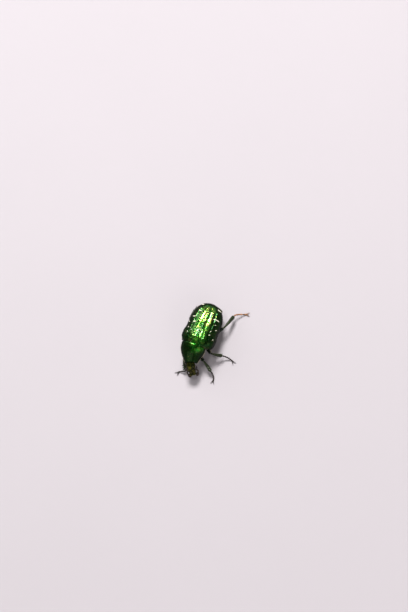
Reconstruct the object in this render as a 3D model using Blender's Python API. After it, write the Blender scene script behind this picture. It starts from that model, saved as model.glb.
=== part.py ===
# A life-size rose chafer, standing still on its six feet.
# The head points to -Y, the back up to +Z, and the animal's left side is at +X.
# Sizes below are millimetres on the animal, and the meshes are written in metres.
import math

import bmesh
import bpy
import numpy as np

MM = 0.001
GAP = 0.25  # clearance that neighbouring pieces keep
THIN = 0.52  # least thickness of a leg, feeler or wing case
# The place on the floor under the middle of the whole outline, which is the part's origin.
ORIGIN = np.array([2.68, -1.02, 0.0])

# Wing cases (elytra)
ELYTRA_FRONT = -3.0
SHOULDER_ADVANCE = 0.15  # how much further the shoulders reach forwards than the middle
ELYTRA_REAR = 7.95
ELYTRA_ROUND_FROM = 1.6  # where the outline starts to round in towards the rear
ELYTRA_SHELL = 0.55
ELYTRA_FLATNESS = 2.55  # exponent of the cross-section: 2 is an ellipse, more is flatter
ELYTRA_TUCK = 1.2  # how deep the flank would run under, were the section closed
ELYTRA_LAST_TURN = math.radians(100)
SUTURE_HALF = 0.13
# Place along the body, half width, height of the side margin, height of the back.
ELYTRA_STATIONS = (
    (-3.2, 3.75, 5.60, 8.18),
    (-2.2, 4.33, 5.40, 8.36),
    (-0.8, 4.42, 5.15, 8.45),
    (0.6, 4.18, 4.95, 8.44),
    (2.2, 4.16, 4.80, 8.38),
    (4.5, 4.10, 4.75, 8.25),
    (8.0, 3.92, 5.45, 8.10),
)
COSTA_PLACES = (0.36, 0.63)  # the two raised ribs, as shares of the half width
COSTA_HEIGHT = 0.09
COSTA_WIDTH = 0.045
HUMERUS = (3.15, -1.75, 0.16, 0.75)  # the shoulder hump: x, y, height, radius
APEX_HUMP = (2.15, 5.9, 0.16, 0.7)

# Scutellum, the triangle between the wing cases
SCUTELLUM_FRONT = -3.02
SCUTELLUM_REAR = -0.6
SCUTELLUM_HALF = 1.12

# Belly side of the trunk: place along the body, height of the belly, depth of the flank's inset.
BELLY_STATIONS = (
    (-3.2, 2.55, 0.75),
    (-1.6, 2.15, 0.45),
    (0.8, 2.10, 0.35),
    (2.5, 2.25, 0.38),
    (4.5, 2.60, 0.42),
    (6.4, 3.10, 0.48),
    (8.0, 3.90, 0.55),
)
BELLY_FULLNESS = 2.25
LEDGE_DEPTH = 0.66  # how far below the wing cases' side margin the flank starts
THORAX_REAR = 1.35
STERNITE_ENDS = (2.45, 3.45, 4.4, 5.3, 6.2)
STERNITE_STEP = 0.1
KNOB = (0.0, -2.25, 2.2, 0.62)  # the rounded process between the middle legs: centre and radius

# Pygidium, the bare plate at the rear
PYGIDIUM_PLACE = (0.0, 7.12, 3.70)
PYGIDIUM_LEAN = math.radians(24)
PYGIDIUM_HALF = (2.7, 0.6, 1.22)  # half width, bulge to the rear, half height

# Prothorax: distance ahead of its base, half width, top, side margin and underside heights.
PROTHORAX_STATIONS = (
    (0.0, 3.03, 8.16, 5.60, 2.95),
    (0.88, 3.09, 8.04, 5.30, 2.50),
    (1.9, 2.87, 7.70, 5.05, 2.40),
    (2.93, 2.45, 7.16, 4.90, 2.65),
    (3.91, 1.93, 6.55, 4.85, 3.20),
    (4.88, 1.40, 5.95, 4.86, 3.75),
)
PROTHORAX_TOP_FULLNESS = 2.25
PROTHORAX_UNDER_FULLNESS = 1.7
PROTHORAX_BASE_BOW = 0.42  # how far the hind corners stand ahead of the middle
PROTHORAX_NOTCH = 0.16  # shallow bay in front of the scutellum
PROTHORAX_FRONT_BAY = 0.28
PROTHORAX_BASE = (-0.54, -3.33)  # the middle of its base, set a little to the right
PROTHORAX_YAW = (math.radians(6), math.radians(23))  # its turn to the left at the base and at the front

# Head, along its own axis, which dips forwards: place, half width, rise over the axis, depth under it.
HEAD_ROOT = (0.62, -8.42, 4.98)
HEAD_DIP = math.radians(34)
HEAD_YAW = math.radians(35)
HEAD_STATIONS = (
    (-0.8, 0.98, 0.74, 0.80),
    (0.35, 1.17, 0.84, 1.00),
    (0.95, 1.19, 0.78, 1.00),
    (1.45, 0.99, 0.60, 0.82),
    (1.95, 0.84, 0.45, 0.58),
    (2.55, 0.81, 0.34, 0.40),
    (3.02, 0.75, 0.27, 0.27),
)
HEAD_FULLNESS = 2.7
CLYPEUS_NOTCH = 0.14
EYE_PLACE = (1.11, 0.98, 0.06)  # beside the head, along it, above its axis
EYE_RADII = (0.43, 0.54, 0.52)
EYE_SIDES = 12

# Legs. Each point is where a joint lies on the animal: hip, knee, ankle, a bend in the foot and the toe.
LEGS = {
    "front_left": ((0.85, -5.1, 2.5), (3.0, -6.1, 3.3), (5.45, -7.75, 1.6), (6.4, -8.5, 0.8), (6.85, -9.9, 0.19)),
    "middle_left": ((1.6, -1.9, 2.2), (3.95, -3.75, 4.0), (6.7, -3.05, 1.9), (8.2, -2.9, 0.85), (9.7, -3.35, 0.19)),
    "rear_left": ((1.8, 0.9, 2.25), (4.6, 3.3, 4.1), (5.6, 7.35, 2.1), (6.85, 8.6, 0.95), (8.3, 9.3, 0.19)),
    "front_right": ((-0.95, -4.9, 2.5), (-2.1, -7.05, 3.15), (-0.75, -9.7, 1.55), (-1.3, -10.5, 0.7), (-2.35, -11.2, 0.19)),
    "middle_right": ((-1.6, -1.9, 2.2), (-4.15, -3.1, 3.8), (-4.5, -0.3, 1.7), (-4.6, 1.0, 0.75), (-4.7, 2.9, 0.19)),
    "rear_right": ((-1.8, 0.9, 2.25), (-4.45, 2.8, 3.95), (-3.95, 6.1, 1.5), (-3.2, 7.1, 0.7), (-1.6, 7.75, 0.19)),
}
# Widths and thicknesses at the root, the middle and the end of a segment, by pair of legs.
FEMUR_SIZES = {"front": (0.75, 1.15, 0.75), "middle": (0.8, 1.2, 0.75), "rear": (0.9, 1.45, 0.8)}
TIBIA_SIZES = {"front": (0.6, 0.85, 1.0), "middle": (0.6, 0.75, 0.95), "rear": (0.6, 0.8, 1.05)}
COXA_RADII = {"front": (0.66, 0.75, 0.75), "middle": (0.8, 0.8, 0.6), "rear": (1.12, 0.75, 0.55)}
COXA_INWARDS = {"front": 0.12, "middle": 0.4, "rear": 0.45}  # how far the hip lies outside its coxa's middle
LEG_FLATNESS = 0.68  # thickness of a femur or tibia as a share of its width
TARSUS_WIDTH = 0.52
TARSUS_JOINTS = 5
TARSUS_START = 0.34  # where the foot begins past the end of the shin
FOOT_RUN_OUT = 0.6
TOOTH_LENGTH = 0.45
SPUR_LENGTH = 0.6
CLAW_LENGTH = 0.75
KNEE_CLEARANCE = 0.38
SOLE = 0.0  # height of the flats on which the feet stand

# Feelers, in the head's own measure (to the side, along, up): root, end of the scape, end of the stalk, tip.
FEELER = ((1.16, 1.86, -0.5), (1.43, 2.28, -0.55), (1.26, 2.95, -0.78), (0.78, 4.05, -1.02))
CLUB_HALF = (0.42, 0.33)
PALP = ((0.32, 2.12, -0.98), (0.39, 2.66, -1.06), (0.31, 3.02, -1.04))

COLOURS = {
    "green": ((0.015, 0.16, 0.02, 1.0), 0.2, 1.0),
    "dark": ((0.012, 0.03, 0.014, 1.0), 0.3, 0.8),
    "copper": ((0.10, 0.11, 0.035, 1.0), 0.3, 1.0),
    "black": ((0.012, 0.009, 0.008, 1.0), 0.12, 0.0),
    "brown": ((0.05, 0.022, 0.012, 1.0), 0.35, 0.0),
}


def smooth(stations, column, place):
    """A column of a station table at some places, on a smooth curve that doesn't overshoot."""
    table = np.array(stations, float)
    x = table[:, 0]
    y = table[:, column]
    if x[0] > x[-1]:
        x = x[::-1]
        y = y[::-1]
    slope = np.diff(y) / np.diff(x)
    tangent = np.zeros(len(x))
    for i in range(1, len(x) - 1):
        if slope[i - 1] * slope[i] > 0:
            tangent[i] = 2 * slope[i - 1] * slope[i] / (slope[i - 1] + slope[i])
    tangent[0] = slope[0]
    tangent[-1] = slope[-1]
    place = np.clip(np.asarray(place, float), x[0], x[-1])
    i = np.clip(np.searchsorted(x, place) - 1, 0, len(x) - 2)
    step = x[i + 1] - x[i]
    t = (place - x[i]) / step
    return (
        (2 * t**3 - 3 * t**2 + 1) * y[i]
        + (t**3 - 2 * t**2 + t) * step * tangent[i]
        + (3 * t**2 - 2 * t**3) * y[i + 1]
        + (t**3 - t**2) * step * tangent[i + 1]
    )


def power(value, exponent):
    """A power that keeps the sign."""
    return np.sign(value) * np.abs(value) ** exponent


def hump(x, y, centre_x, centre_y, height, radius):
    return height * np.exp(-((x - centre_x) ** 2 + (y - centre_y) ** 2) / radius**2)


def rounding(y, rear, exponent):
    """1 along the body, falling to 0 at the rear as a rounded outline does."""
    share = np.clip((y - ELYTRA_ROUND_FROM) / (rear - ELYTRA_ROUND_FROM), 0, 1)
    return np.sqrt(np.clip(1 - share**exponent, 0, 1))


def trunk_section(y, inset=0.0):
    """Half width, side margin height and back height of the trunk with its wing cases on, drawn in by inset."""
    rear = ELYTRA_REAR - inset
    margin = smooth(ELYTRA_STATIONS, 2, y)
    half = smooth(ELYTRA_STATIONS, 1, y) * rounding(y, rear, 3.3) - inset
    back = margin + (smooth(ELYTRA_STATIONS, 3, y) - margin) * rounding(y, rear, 2.3) - inset
    return np.maximum(half, 0.02), margin, np.maximum(back, margin + 0.02)


def trunk_point(y, turn, inset=0.0):
    """Points on the trunk's outer form at angle turn from the middle of the back."""
    half, margin, back = trunk_section(y, inset)
    rise = np.where(np.cos(turn) >= 0, back - margin, ELYTRA_TUCK)
    share = 2 / ELYTRA_FLATNESS
    x = half * power(np.sin(turn), share)
    z = margin + rise * power(np.cos(turn), share)
    return np.stack([x, np.broadcast_to(y, x.shape), z], axis=-1)


def scutellum_half(y):
    share = np.clip((SCUTELLUM_REAR - y) / (SCUTELLUM_REAR - SCUTELLUM_FRONT), 0, 1)
    return SCUTELLUM_HALF * share**0.8


def elytron_relief(x, y):
    """Height of the ribs and humps over the plain wing case."""
    half, _, _ = trunk_section(y)
    share = x / half
    fade = np.clip((y + 0.6) / 2.0, 0, 1) * np.clip((7.0 - y) / 1.2, 0, 1)
    relief = np.zeros_like(x)
    for place in COSTA_PLACES:
        relief = relief + COSTA_HEIGHT * np.exp(-(((share - place) / COSTA_WIDTH) ** 2))
    return relief * fade + hump(x, y, *HUMERUS) + hump(x, y, *APEX_HUMP)


def surface_normals(grid):
    """Unit normals of a grid of points, on the side of its rows crossed with its columns."""
    rows = np.gradient(grid, axis=0)
    columns = np.gradient(grid, axis=1)
    normal = np.cross(columns, rows)
    return normal / np.maximum(np.linalg.norm(normal, axis=-1, keepdims=True), 1e-9)


def material(name):
    found = bpy.data.materials.get(name)
    if found:
        return found
    colour, roughness, metallic = COLOURS[name]
    made = bpy.data.materials.new(name)
    made.use_nodes = True
    shader = made.node_tree.nodes["Principled BSDF"]
    shader.inputs["Base Color"].default_value = colour
    shader.inputs["Roughness"].default_value = roughness
    shader.inputs["Metallic"].default_value = metallic
    made.diffuse_color = colour
    return made


def mesh_object(name, points, faces, colour=None):
    """An object from points in millimetres on the animal, with its faces turned outwards."""
    mesh = bpy.data.meshes.new(name)
    made = bmesh.new()
    corners = [made.verts.new(tuple((np.asarray(p, float) - ORIGIN) * MM)) for p in points]
    for face in faces:
        made.faces.new([corners[i] for i in face])
    bmesh.ops.recalc_face_normals(made, faces=made.faces)
    made.to_mesh(mesh)
    made.free()
    node = bpy.data.objects.new(name, mesh)
    bpy.context.scene.collection.objects.link(node)
    if colour:
        node.data.materials.append(material(colour))
        mesh.shade_smooth()
    return node


def loft(name, rings, colour=None):
    """A closed body through rings of points, with a fan over each end."""
    rings = [np.asarray(ring, float) for ring in rings]
    count = len(rings[0])
    points = np.concatenate(rings)
    faces = []
    for i in range(len(rings) - 1):
        for j in range(count):
            k = (j + 1) % count
            faces.append((i * count + j, i * count + k, (i + 1) * count + k, (i + 1) * count + j))
    tops = [rings[0].mean(axis=0), rings[-1].mean(axis=0)]
    points = np.concatenate([points, tops])
    for end, start in ((0, 0), (1, (len(rings) - 1) * count)):
        middle = len(rings) * count + end
        for j in range(count):
            faces.append((start + j, start + (j + 1) % count, middle))
    return mesh_object(name, points, faces, colour)


def applied(node):
    """Turns the object's evaluated mesh into its own."""
    bpy.context.view_layer.update()
    graph = bpy.context.evaluated_depsgraph_get()
    mesh = bpy.data.meshes.new_from_object(node.evaluated_get(graph))
    node.modifiers.clear()
    node.data = mesh
    mesh.shade_smooth()
    return node


def keep_largest(node):
    """Drops every closed surface of the mesh but the largest."""
    made = bmesh.new()
    made.from_mesh(node.data)
    left = set(made.faces)
    groups = []
    while left:
        group = {left.pop()}
        edge = list(group)
        while edge:
            for side in edge.pop().edges:
                for face in side.link_faces:
                    if face in left:
                        left.remove(face)
                        group.add(face)
                        edge.append(face)
        groups.append(group)
    groups.sort(key=lambda g: sum(f.calc_area() for f in g), reverse=True)
    for group in groups[1:]:
        bmesh.ops.delete(made, geom=list(group), context="FACES")
    made.to_mesh(node.data)
    made.free()
    return node


def boolean(node, others, operation):
    """Joins others to node, or cuts them from it, and removes them."""
    pieces = bpy.data.collections.new(node.name + "_pieces")
    for other in others:
        pieces.objects.link(other)
    modifier = node.modifiers.new("join", "BOOLEAN")
    modifier.operation = operation
    modifier.operand_type = "COLLECTION"
    modifier.collection = pieces
    modifier.solver = "EXACT"
    applied(node)
    for other in others:
        bpy.data.objects.remove(other)
    bpy.data.collections.remove(pieces)
    return keep_largest(node)


def ellipsoid(name, centre, radii, sides=12, colour=None, axes=np.eye(3)):
    """A closed ellipsoid whose rings run along its second axis."""
    rings = []
    for i in range(1, sides // 2 + 1):
        around = math.pi * i / (sides // 2 + 1)
        ring = []
        for j in range(sides):
            turn = 2 * math.pi * j / sides
            local = np.array([
                radii[0] * math.sin(around) * math.cos(turn),
                -radii[1] * math.cos(around),
                radii[2] * math.sin(around) * math.sin(turn),
            ])
            ring.append(np.asarray(centre, float) + local @ axes)
        rings.append(ring)
    node = loft(name, rings, colour)
    node.data.vertices[len(rings) * sides].co = (np.asarray(centre, float) - radii[1] * axes[1] - ORIGIN) * MM
    node.data.vertices[len(rings) * sides + 1].co = (np.asarray(centre, float) + radii[1] * axes[1] - ORIGIN) * MM
    return node


def make_elytron(side):
    """One wing case: a shell from the suture to the side margin, rounded off at the rear."""
    rows, columns = 25, 12
    along = np.sin(np.linspace(0, 1, rows + 1) * math.pi / 2)[:-1, None]
    across = np.linspace(0, 1, columns)[None, :]
    y = ELYTRA_FRONT + (ELYTRA_REAR - 0.02 - ELYTRA_FRONT) * along
    y = y - SHOULDER_ADVANCE * across**2 * (1 - along) ** 6
    half, _, _ = trunk_section(y)
    inner_edge = np.maximum(SUTURE_HALF, scutellum_half(y) + (GAP + 0.06) * (y < SCUTELLUM_REAR))
    first = np.arcsin(np.clip((inner_edge / half) ** (ELYTRA_FLATNESS / 2), 0, 1))[:, :1]
    turn = first + (ELYTRA_LAST_TURN - first) * across
    plain = trunk_point(y, turn)
    normal = surface_normals(plain)
    outer = plain + normal * elytron_relief(plain[..., 0], plain[..., 1])[..., None]
    inner = plain - normal * ELYTRA_SHELL
    inner[:, 0, 0] = plain[:, 0, 0]
    outer[:, 0, 0] = plain[:, 0, 0]
    grid = np.concatenate([outer.reshape(-1, 3), inner.reshape(-1, 3)])
    grid[:, 0] *= side
    count = rows * columns
    faces = []
    for i in range(rows - 1):
        for j in range(columns - 1):
            a = i * columns + j
            faces.append((a, a + 1, a + columns + 1, a + columns))
            faces.append(tuple(count + v for v in (a, a + columns, a + columns + 1, a + 1)))
    edge = [i * columns for i in range(rows)]
    edge += [(rows - 1) * columns + j for j in range(1, columns)]
    edge += [i * columns + columns - 1 for i in range(rows - 2, -1, -1)]
    edge += list(range(columns - 2, 0, -1))
    for a, b in zip(edge, edge[1:] + edge[:1]):
        faces.append((a, b, count + b, count + a))
    return mesh_object("elytron_left" if side > 0 else "elytron_right", grid, faces, "green")


def make_scutellum():
    """The triangle between the wing cases, as a plate with a domed top."""
    rows, columns = 7, 7
    points = []
    for under in (0.0, 1.0):
        for y in np.linspace(SCUTELLUM_FRONT, SCUTELLUM_REAR - 0.1, rows):
            half = float(scutellum_half(np.array(y)))
            for share in np.linspace(-1, 1, columns):
                _, _, back = trunk_section(np.array(y))
                dome = 0.1 * (1 - share**2)
                points.append((half * share, y, float(back) - 0.05 + dome - under * THIN))
    count = rows * columns
    faces = []
    for i in range(rows - 1):
        for j in range(columns - 1):
            a = i * columns + j
            faces.append((a, a + 1, a + columns + 1, a + columns))
            faces.append(tuple(count + v for v in (a, a + columns, a + columns + 1, a + 1)))
    edge = [i * columns for i in range(rows)]
    edge += [(rows - 1) * columns + j for j in range(1, columns)]
    edge += [i * columns + columns - 1 for i in range(rows - 2, -1, -1)]
    edge += list(range(columns - 2, 0, -1))
    for a, b in zip(edge, edge[1:] + edge[:1]):
        faces.append((a, b, count + b, count + a))
    return mesh_object("scutellum", points, faces, "green")


def sternite_step(y):
    """How far the belly plates stand out, each plate's hind edge over the next."""
    step = np.zeros_like(y)
    edges = (THORAX_REAR,) + STERNITE_ENDS
    for start, end in zip(edges, edges[1:]):
        inside = (y >= start) & (y < end)
        step = np.where(inside, STERNITE_STEP * (y - start) / (end - start), step)
    return step


def trunk_ring(y, sides=28, step=0.0):
    """A closed ring round the trunk under its wing cases at place y."""
    drawn_in = ELYTRA_SHELL + GAP
    half, margin, _ = trunk_section(np.array(y), drawn_in)
    outer_half, _, _ = trunk_section(np.array(y))
    belly = float(smooth(BELLY_STATIONS, 1, y)) - step
    flank = max(float(outer_half) - float(smooth(BELLY_STATIONS, 2, y)), float(half)) + step
    upper = trunk_point(np.full(sides // 2 + 1, y), np.linspace(-math.pi / 2, math.pi / 2, sides // 2 + 1), drawn_in)
    ledge = float(margin) - LEDGE_DEPTH
    turns = np.linspace(math.pi / 2, -math.pi / 2, sides // 2 + 1)
    share = 2 / BELLY_FULLNESS
    lower = np.stack([
        flank * power(np.sin(turns), share),
        np.full(len(turns), y),
        ledge - (ledge - belly) * power(np.cos(turns), share),
    ], axis=-1)
    wall = np.array([[float(half), y, ledge + 0.1]])
    return np.concatenate([upper, wall, lower, wall * [[-1, 1, 1]]])


def prothorax_ring(share, sides=28, grow=0.0):
    """A ring round the prothorax, share 0 at its base and 1 at its front."""
    length = PROTHORAX_STATIONS[-1][0]
    half, top, edge, under = (float(smooth(PROTHORAX_STATIONS, c, length * share)) for c in (1, 2, 3, 4))
    half += grow
    top += grow
    under -= grow
    turns = np.linspace(0, 2 * math.pi, sides, endpoint=False)
    upper = np.cos(turns) >= 0
    fullness = np.where(upper, 2 / PROTHORAX_TOP_FULLNESS, 2 / PROTHORAX_UNDER_FULLNESS)
    x = half * power(np.sin(turns), fullness)
    z = edge + np.where(upper, top - edge, edge - under) * power(np.cos(turns), fullness)
    side = x / half
    bow = PROTHORAX_BASE_BOW * side**2 + PROTHORAX_NOTCH * np.exp(-((x / 0.95) ** 2)) * upper
    bay = PROTHORAX_FRONT_BAY * (1 - side**2)
    ahead = bow * (1 - share) ** 2 - bay * share**3 - grow * (1 - 2 * share)
    first, last = PROTHORAX_YAW
    turn = first + (last - first) * share
    middle_turn = first + (last - first) * share / 2
    centre_x = PROTHORAX_BASE[0] + length * share * math.sin(middle_turn)
    centre_y = PROTHORAX_BASE[1] - length * share * math.cos(middle_turn)
    return np.stack([
        centre_x + x * math.cos(turn) + ahead * math.sin(turn),
        centre_y + x * math.sin(turn) - ahead * math.cos(turn),
        z,
    ], axis=-1)


def make_prothorax(grow=0.0, name="prothorax", colour="green"):
    shares = np.linspace(0, 1, 11)
    return loft(name, [prothorax_ring(s, grow=grow) for s in shares], colour)


def head_axes():
    """The head's own axes as rows: to its side, along it and up from it."""
    yaw, dip = HEAD_YAW, HEAD_DIP
    side = np.array([math.cos(yaw), math.sin(yaw), 0.0])
    level = np.array([math.sin(yaw), -math.cos(yaw), 0.0])
    along = level * math.cos(dip) + np.array([0, 0, -math.sin(dip)])
    up = level * math.sin(dip) + np.array([0, 0, math.cos(dip)])
    return np.array([side, along, up])


def head_point(side, along, up):
    return np.array(HEAD_ROOT) + np.array([side, along, up]) @ head_axes()


def head_ring(place, sides=26):
    half, rise, depth = (float(smooth(HEAD_STATIONS, c, place)) for c in (1, 2, 3))
    turns = np.linspace(0, 2 * math.pi, sides, endpoint=False)
    share = 2 / HEAD_FULLNESS
    side = half * power(np.sin(turns), share)
    up = np.where(np.cos(turns) >= 0, rise, depth) * power(np.cos(turns), share)
    front = np.clip((place - 2.2) / 0.8, 0, 1)
    along = place - front * (CLYPEUS_NOTCH * np.exp(-((side / 0.3) ** 2)) + 0.2 * (side / half) ** 4)
    return np.array([head_point(a, b, c) for a, b, c in zip(side, along, up)])


def make_eye(side, grow=0.0, name=None, colour="black"):
    axes = head_axes()
    centre = head_point(side * EYE_PLACE[0], EYE_PLACE[1], EYE_PLACE[2])
    radii = [r + grow for r in EYE_RADII]
    return ellipsoid(name or f"eye_{'left' if side > 0 else 'right'}", centre, radii, EYE_SIDES, colour, axes)


def tube(name, path, widths, thicknesses, up, sides=10, colour=None, fullness=2.0):
    """A closed body along a path of points, with an oval section of the given widths and thicknesses."""
    path = np.asarray(path, float)
    tangent = np.gradient(path, axis=0)
    tangent /= np.linalg.norm(tangent, axis=1, keepdims=True)
    rings = []
    for point, along, width, thick in zip(path, tangent, widths, thicknesses):
        level = np.cross(along, up)
        level /= np.linalg.norm(level)
        rise = np.cross(level, along)
        turns = np.linspace(0, 2 * math.pi, sides, endpoint=False)
        share = 2 / fullness
        ring = point + np.outer(width / 2 * power(np.cos(turns), share), level) + np.outer(
            thick / 2 * power(np.sin(turns), share), rise)
        rings.append(ring)
    return loft(name, rings, colour)


def between(a, b, shares):
    a, b = np.asarray(a, float), np.asarray(b, float)
    return a + np.outer(shares, b - a)


def rounded(shares, root, end):
    """Thins both ends of a segment to a rounded stub."""
    root_part = np.sqrt(np.clip(1 - (1 - np.clip(shares / root, 0, 1)) ** 2, 0, 1))
    end_part = np.sqrt(np.clip(1 - (1 - np.clip((1 - shares) / end, 0, 1)) ** 2, 0, 1))
    return np.minimum(root_part, end_part)


def leg_up(leg):
    """The direction across the plane in which a leg bends, which its flat sides face."""
    hip, knee, ankle = (np.array(p) for p in leg[:3])
    across = np.cross(knee - hip, ankle - knee)
    return across / np.linalg.norm(across)


def cone(name, root, tip, radius, sides=5):
    """A spine from root to tip, on an oval foot."""
    shares = np.array([0.0, 0.55, 1.0])
    widths = 2 * radius * np.array([1.0, 0.66, 0.14])
    up = np.array([0.31, 0.17, 0.93])
    return tube(name, between(root, tip, shares), widths, widths, up, sides)


def make_femur(pair, name, leg, grow=0.0):
    """The thigh; grown, it is the cutter of the groove that the body keeps for it."""
    hip, knee = np.array(leg[0]), np.array(leg[1])
    root, middle, end = FEMUR_SIZES[pair]
    length = np.linalg.norm(knee - hip)
    along = (knee - hip) / length
    start = hip + along * (0.35 + GAP - grow)
    stop = knee - along * (GAP / 2 - grow)
    shares = np.array([0.0, 0.06, 0.16, 0.34, 0.55, 0.76, 0.91, 0.98, 1.0])
    widths = np.interp(shares, [0, 0.16, 0.5, 0.8, 1], [root, root * 0.98, middle, end * 1.12, end])
    widths = widths * np.maximum(rounded(shares, 0.1, 0.12), 0.45)
    thick = np.maximum(widths * LEG_FLATNESS, THIN * np.maximum(rounded(shares, 0.1, 0.12), 0.45))
    widths = widths + 2 * grow
    thick = thick + 2 * grow
    colour = None if grow else "dark"
    return tube(f"femur_{name}", between(start, stop, shares), thick, widths, leg_up(leg), 9, colour)


def make_tibia(pair, name, leg):
    knee, ankle = np.array(leg[1]), np.array(leg[2])
    root, middle, end = TIBIA_SIZES[pair]
    along = (ankle - knee) / np.linalg.norm(ankle - knee)
    across = leg_up(leg)
    outward = np.cross(along, across)
    outward *= math.copysign(1, np.dot(outward, knee - np.array(leg[0])))
    thigh = (knee - np.array(leg[0])) / np.linalg.norm(knee - np.array(leg[0]))
    bend = math.acos(float(np.clip(np.dot(thigh, along), -1, 1)))
    start = knee + along * (GAP / 2 + KNEE_CLEARANCE * (1 - math.cos(bend)) ** 1.54)
    shares = np.array([0.0, 0.05, 0.2, 0.4, 0.6, 0.8, 0.93, 1.0])
    widths = np.interp(shares, [0, 0.1, 0.5, 0.9, 1], [root * 0.8, root, middle, end, end * 0.86])
    widths = widths * np.maximum(rounded(shares, 0.08, 0.01), 0.5)
    thick = np.maximum(widths * LEG_FLATNESS, THIN)
    shin = tube(f"tibia_{name}", between(start, ankle, shares), thick, widths, across, 8, "dark")
    reach = ankle - start
    spines = []
    places = (0.62, 0.8, 0.96) if pair == "front" else (0.55,)
    for place in places:
        foot = start + reach * place
        tip = foot + outward * (middle / 2 + TOOTH_LENGTH * 0.75) + along * TOOTH_LENGTH * 0.55
        spines.append(cone("tooth", foot, tip, 0.26))
    for sway in (-1, 1):
        foot = start + reach * 0.93 - outward * 0.16 + across * sway * 0.07
        tip = ankle + along * SPUR_LENGTH * 0.3 + across * sway * 0.3 - outward * (0.42 + SPUR_LENGTH * 0.4)
        spines.append(cone("spur", foot, tip, 0.2))
    return boolean(shin, spines, "UNION")


def foot_path(leg, count):
    """Points along a foot: on in the shin's direction, then in a smooth bend to the toe."""
    knee, ankle, bend, toe = (np.array(p) for p in leg[1:])
    along = (ankle - knee) / np.linalg.norm(ankle - knee)
    start = ankle + along * TARSUS_START
    first = start + along * FOOT_RUN_OUT
    second = (8 * bend - start - 3 * first - toe) / 3
    t = np.linspace(0, 1, count)[:, None]
    return (1 - t) ** 3 * start + 3 * t * (1 - t) ** 2 * first + 3 * t**2 * (1 - t) * second + t**3 * toe


def make_tarsus(name, leg):
    """A foot of five joints that ends in two curved claws, on a small flat."""
    samples = 3 * TARSUS_JOINTS + 1
    path = foot_path(leg, samples)
    swell = np.ones(samples)
    swell[1::3] = 1.1
    swell[2::3] = 1.26
    width = TARSUS_WIDTH * swell
    width[0] *= 0.8
    foot = tube(f"tarsus_{name}", path, width, width * 0.97, np.array([0, 0, 1.0]), 7, "dark")
    toe = path[-1]
    heading = path[-1] - path[-3]
    heading[2] = 0
    heading /= np.linalg.norm(heading)
    beside = np.array([-heading[1], heading[0], 0])
    claws = []
    for sway in (-1, 1):
        bend = [
            toe - heading * 0.32 + beside * sway * 0.03 + np.array([0, 0, 0.03]),
            toe + heading * 0.2 + beside * sway * 0.2 + np.array([0, 0, 0.12]),
            toe + heading * 0.5 + beside * sway * 0.4 + np.array([0, 0, 0.06]),
            toe + heading * CLAW_LENGTH + beside * sway * 0.46 + np.array([0, 0, -0.09]),
        ]
        sizes = np.array([0.4, 0.34, 0.26, 0.12])
        claws.append(tube("claw", bend, sizes, sizes, np.array([0.07, 0.11, 1.0]), 5))
    foot = boolean(foot, claws, "UNION")
    return flat_sole(foot)


def flat_sole(foot):
    """Trims the foot level with the floor."""
    floor = mesh_object("floor_cut", [
        (x, y, z) for x in (-20, 20) for y in (-20, 20) for z in (-5, SOLE)
    ], [(0, 1, 3, 2), (4, 6, 7, 5), (0, 4, 5, 1), (2, 3, 7, 6), (0, 2, 6, 4), (1, 5, 7, 3)])
    return boolean(foot, [floor], "DIFFERENCE")


def make_coxa(pair, leg, grow=0.0, name="coxa"):
    """The hip, sunk in the underside; grown, it is the socket's cutter."""
    hip = np.array(leg[0])
    radii = [r + grow for r in COXA_RADII[pair]]
    inwards = -math.copysign(1, hip[0])
    centre = hip + np.array([inwards * COXA_INWARDS[pair], 0, 0.1])
    return ellipsoid(name, centre, radii, 10, None if grow else "dark")


def make_feeler(side):
    """An antenna: scape, stalk and the closed club."""
    root, scape, stalk, tip = (head_point(side * p[0], p[1], p[2]) for p in FEELER)
    path = np.concatenate([
        between(root, scape, np.linspace(0, 1, 4)),
        between(scape, stalk, np.linspace(0, 1, 5))[1:],
        between(stalk, tip, np.linspace(0, 1, 7))[1:],
    ])
    scape_sizes = np.array([0.4, 0.5, 0.56, 0.52])
    stalk_sizes = np.array([THIN, THIN + 0.05, THIN, THIN + 0.05])
    width = np.concatenate([scape_sizes, stalk_sizes, 2 * CLUB_HALF[0] * np.array([0.85, 1.0, 1.0, 0.93, 0.75, 0.42])])
    thick = np.concatenate([scape_sizes, stalk_sizes, 2 * CLUB_HALF[1] * np.array([0.9, 1.0, 1.0, 0.95, 0.8, 0.5])])
    name = "antenna_left" if side > 0 else "antenna_right"
    return tube(name, path, width, thick, head_axes()[2], 9, "brown")


def make_mouthparts():
    """The labrum and maxillae under the clypeus, with a palp on each side."""
    places = np.linspace(1.35, 2.75, 6)
    rings = []
    for place in places:
        share = (place - places[0]) / (places[-1] - places[0])
        half = 0.66 - 0.2 * share
        top = -float(smooth(HEAD_STATIONS, 3, place)) - GAP
        deep = 0.62 * math.sin(math.pi * (0.25 + 0.6 * share))
        turns = np.linspace(0, 2 * math.pi, 14, endpoint=False)
        rings.append([
            head_point(half * math.sin(t), place, top - deep / 2 + deep / 2 * math.cos(t)) for t in turns
        ])
    mouth = loft("mouthparts", rings, "brown")
    palps = []
    for side in (-1, 1):
        points = [head_point(side * p[0], p[1], p[2]) for p in PALP]
        sizes = np.array([0.5, THIN, 0.4])
        palps.append(tube("palp", points, sizes, sizes, np.array([0, 0, 1.0]), 7))
    return boolean(mouth, palps, "UNION")


def make_head():
    """The head with its clypeus, cut clear of the prothorax, eyes and feelers."""
    places = [-0.8, -0.3, 0.1, 0.4, 0.65, 0.95, 1.2, 1.45, 1.7, 1.95, 2.25, 2.55, 2.8, 2.95, 3.02]
    head = loft("head", [head_ring(p, 22) for p in places], "green")
    cutters = [make_prothorax(GAP, "cut", None)]
    cutters += [make_eye(side, GAP, "cut", None) for side in (-1, 1)]
    return boolean(head, cutters, "DIFFERENCE")


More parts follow.
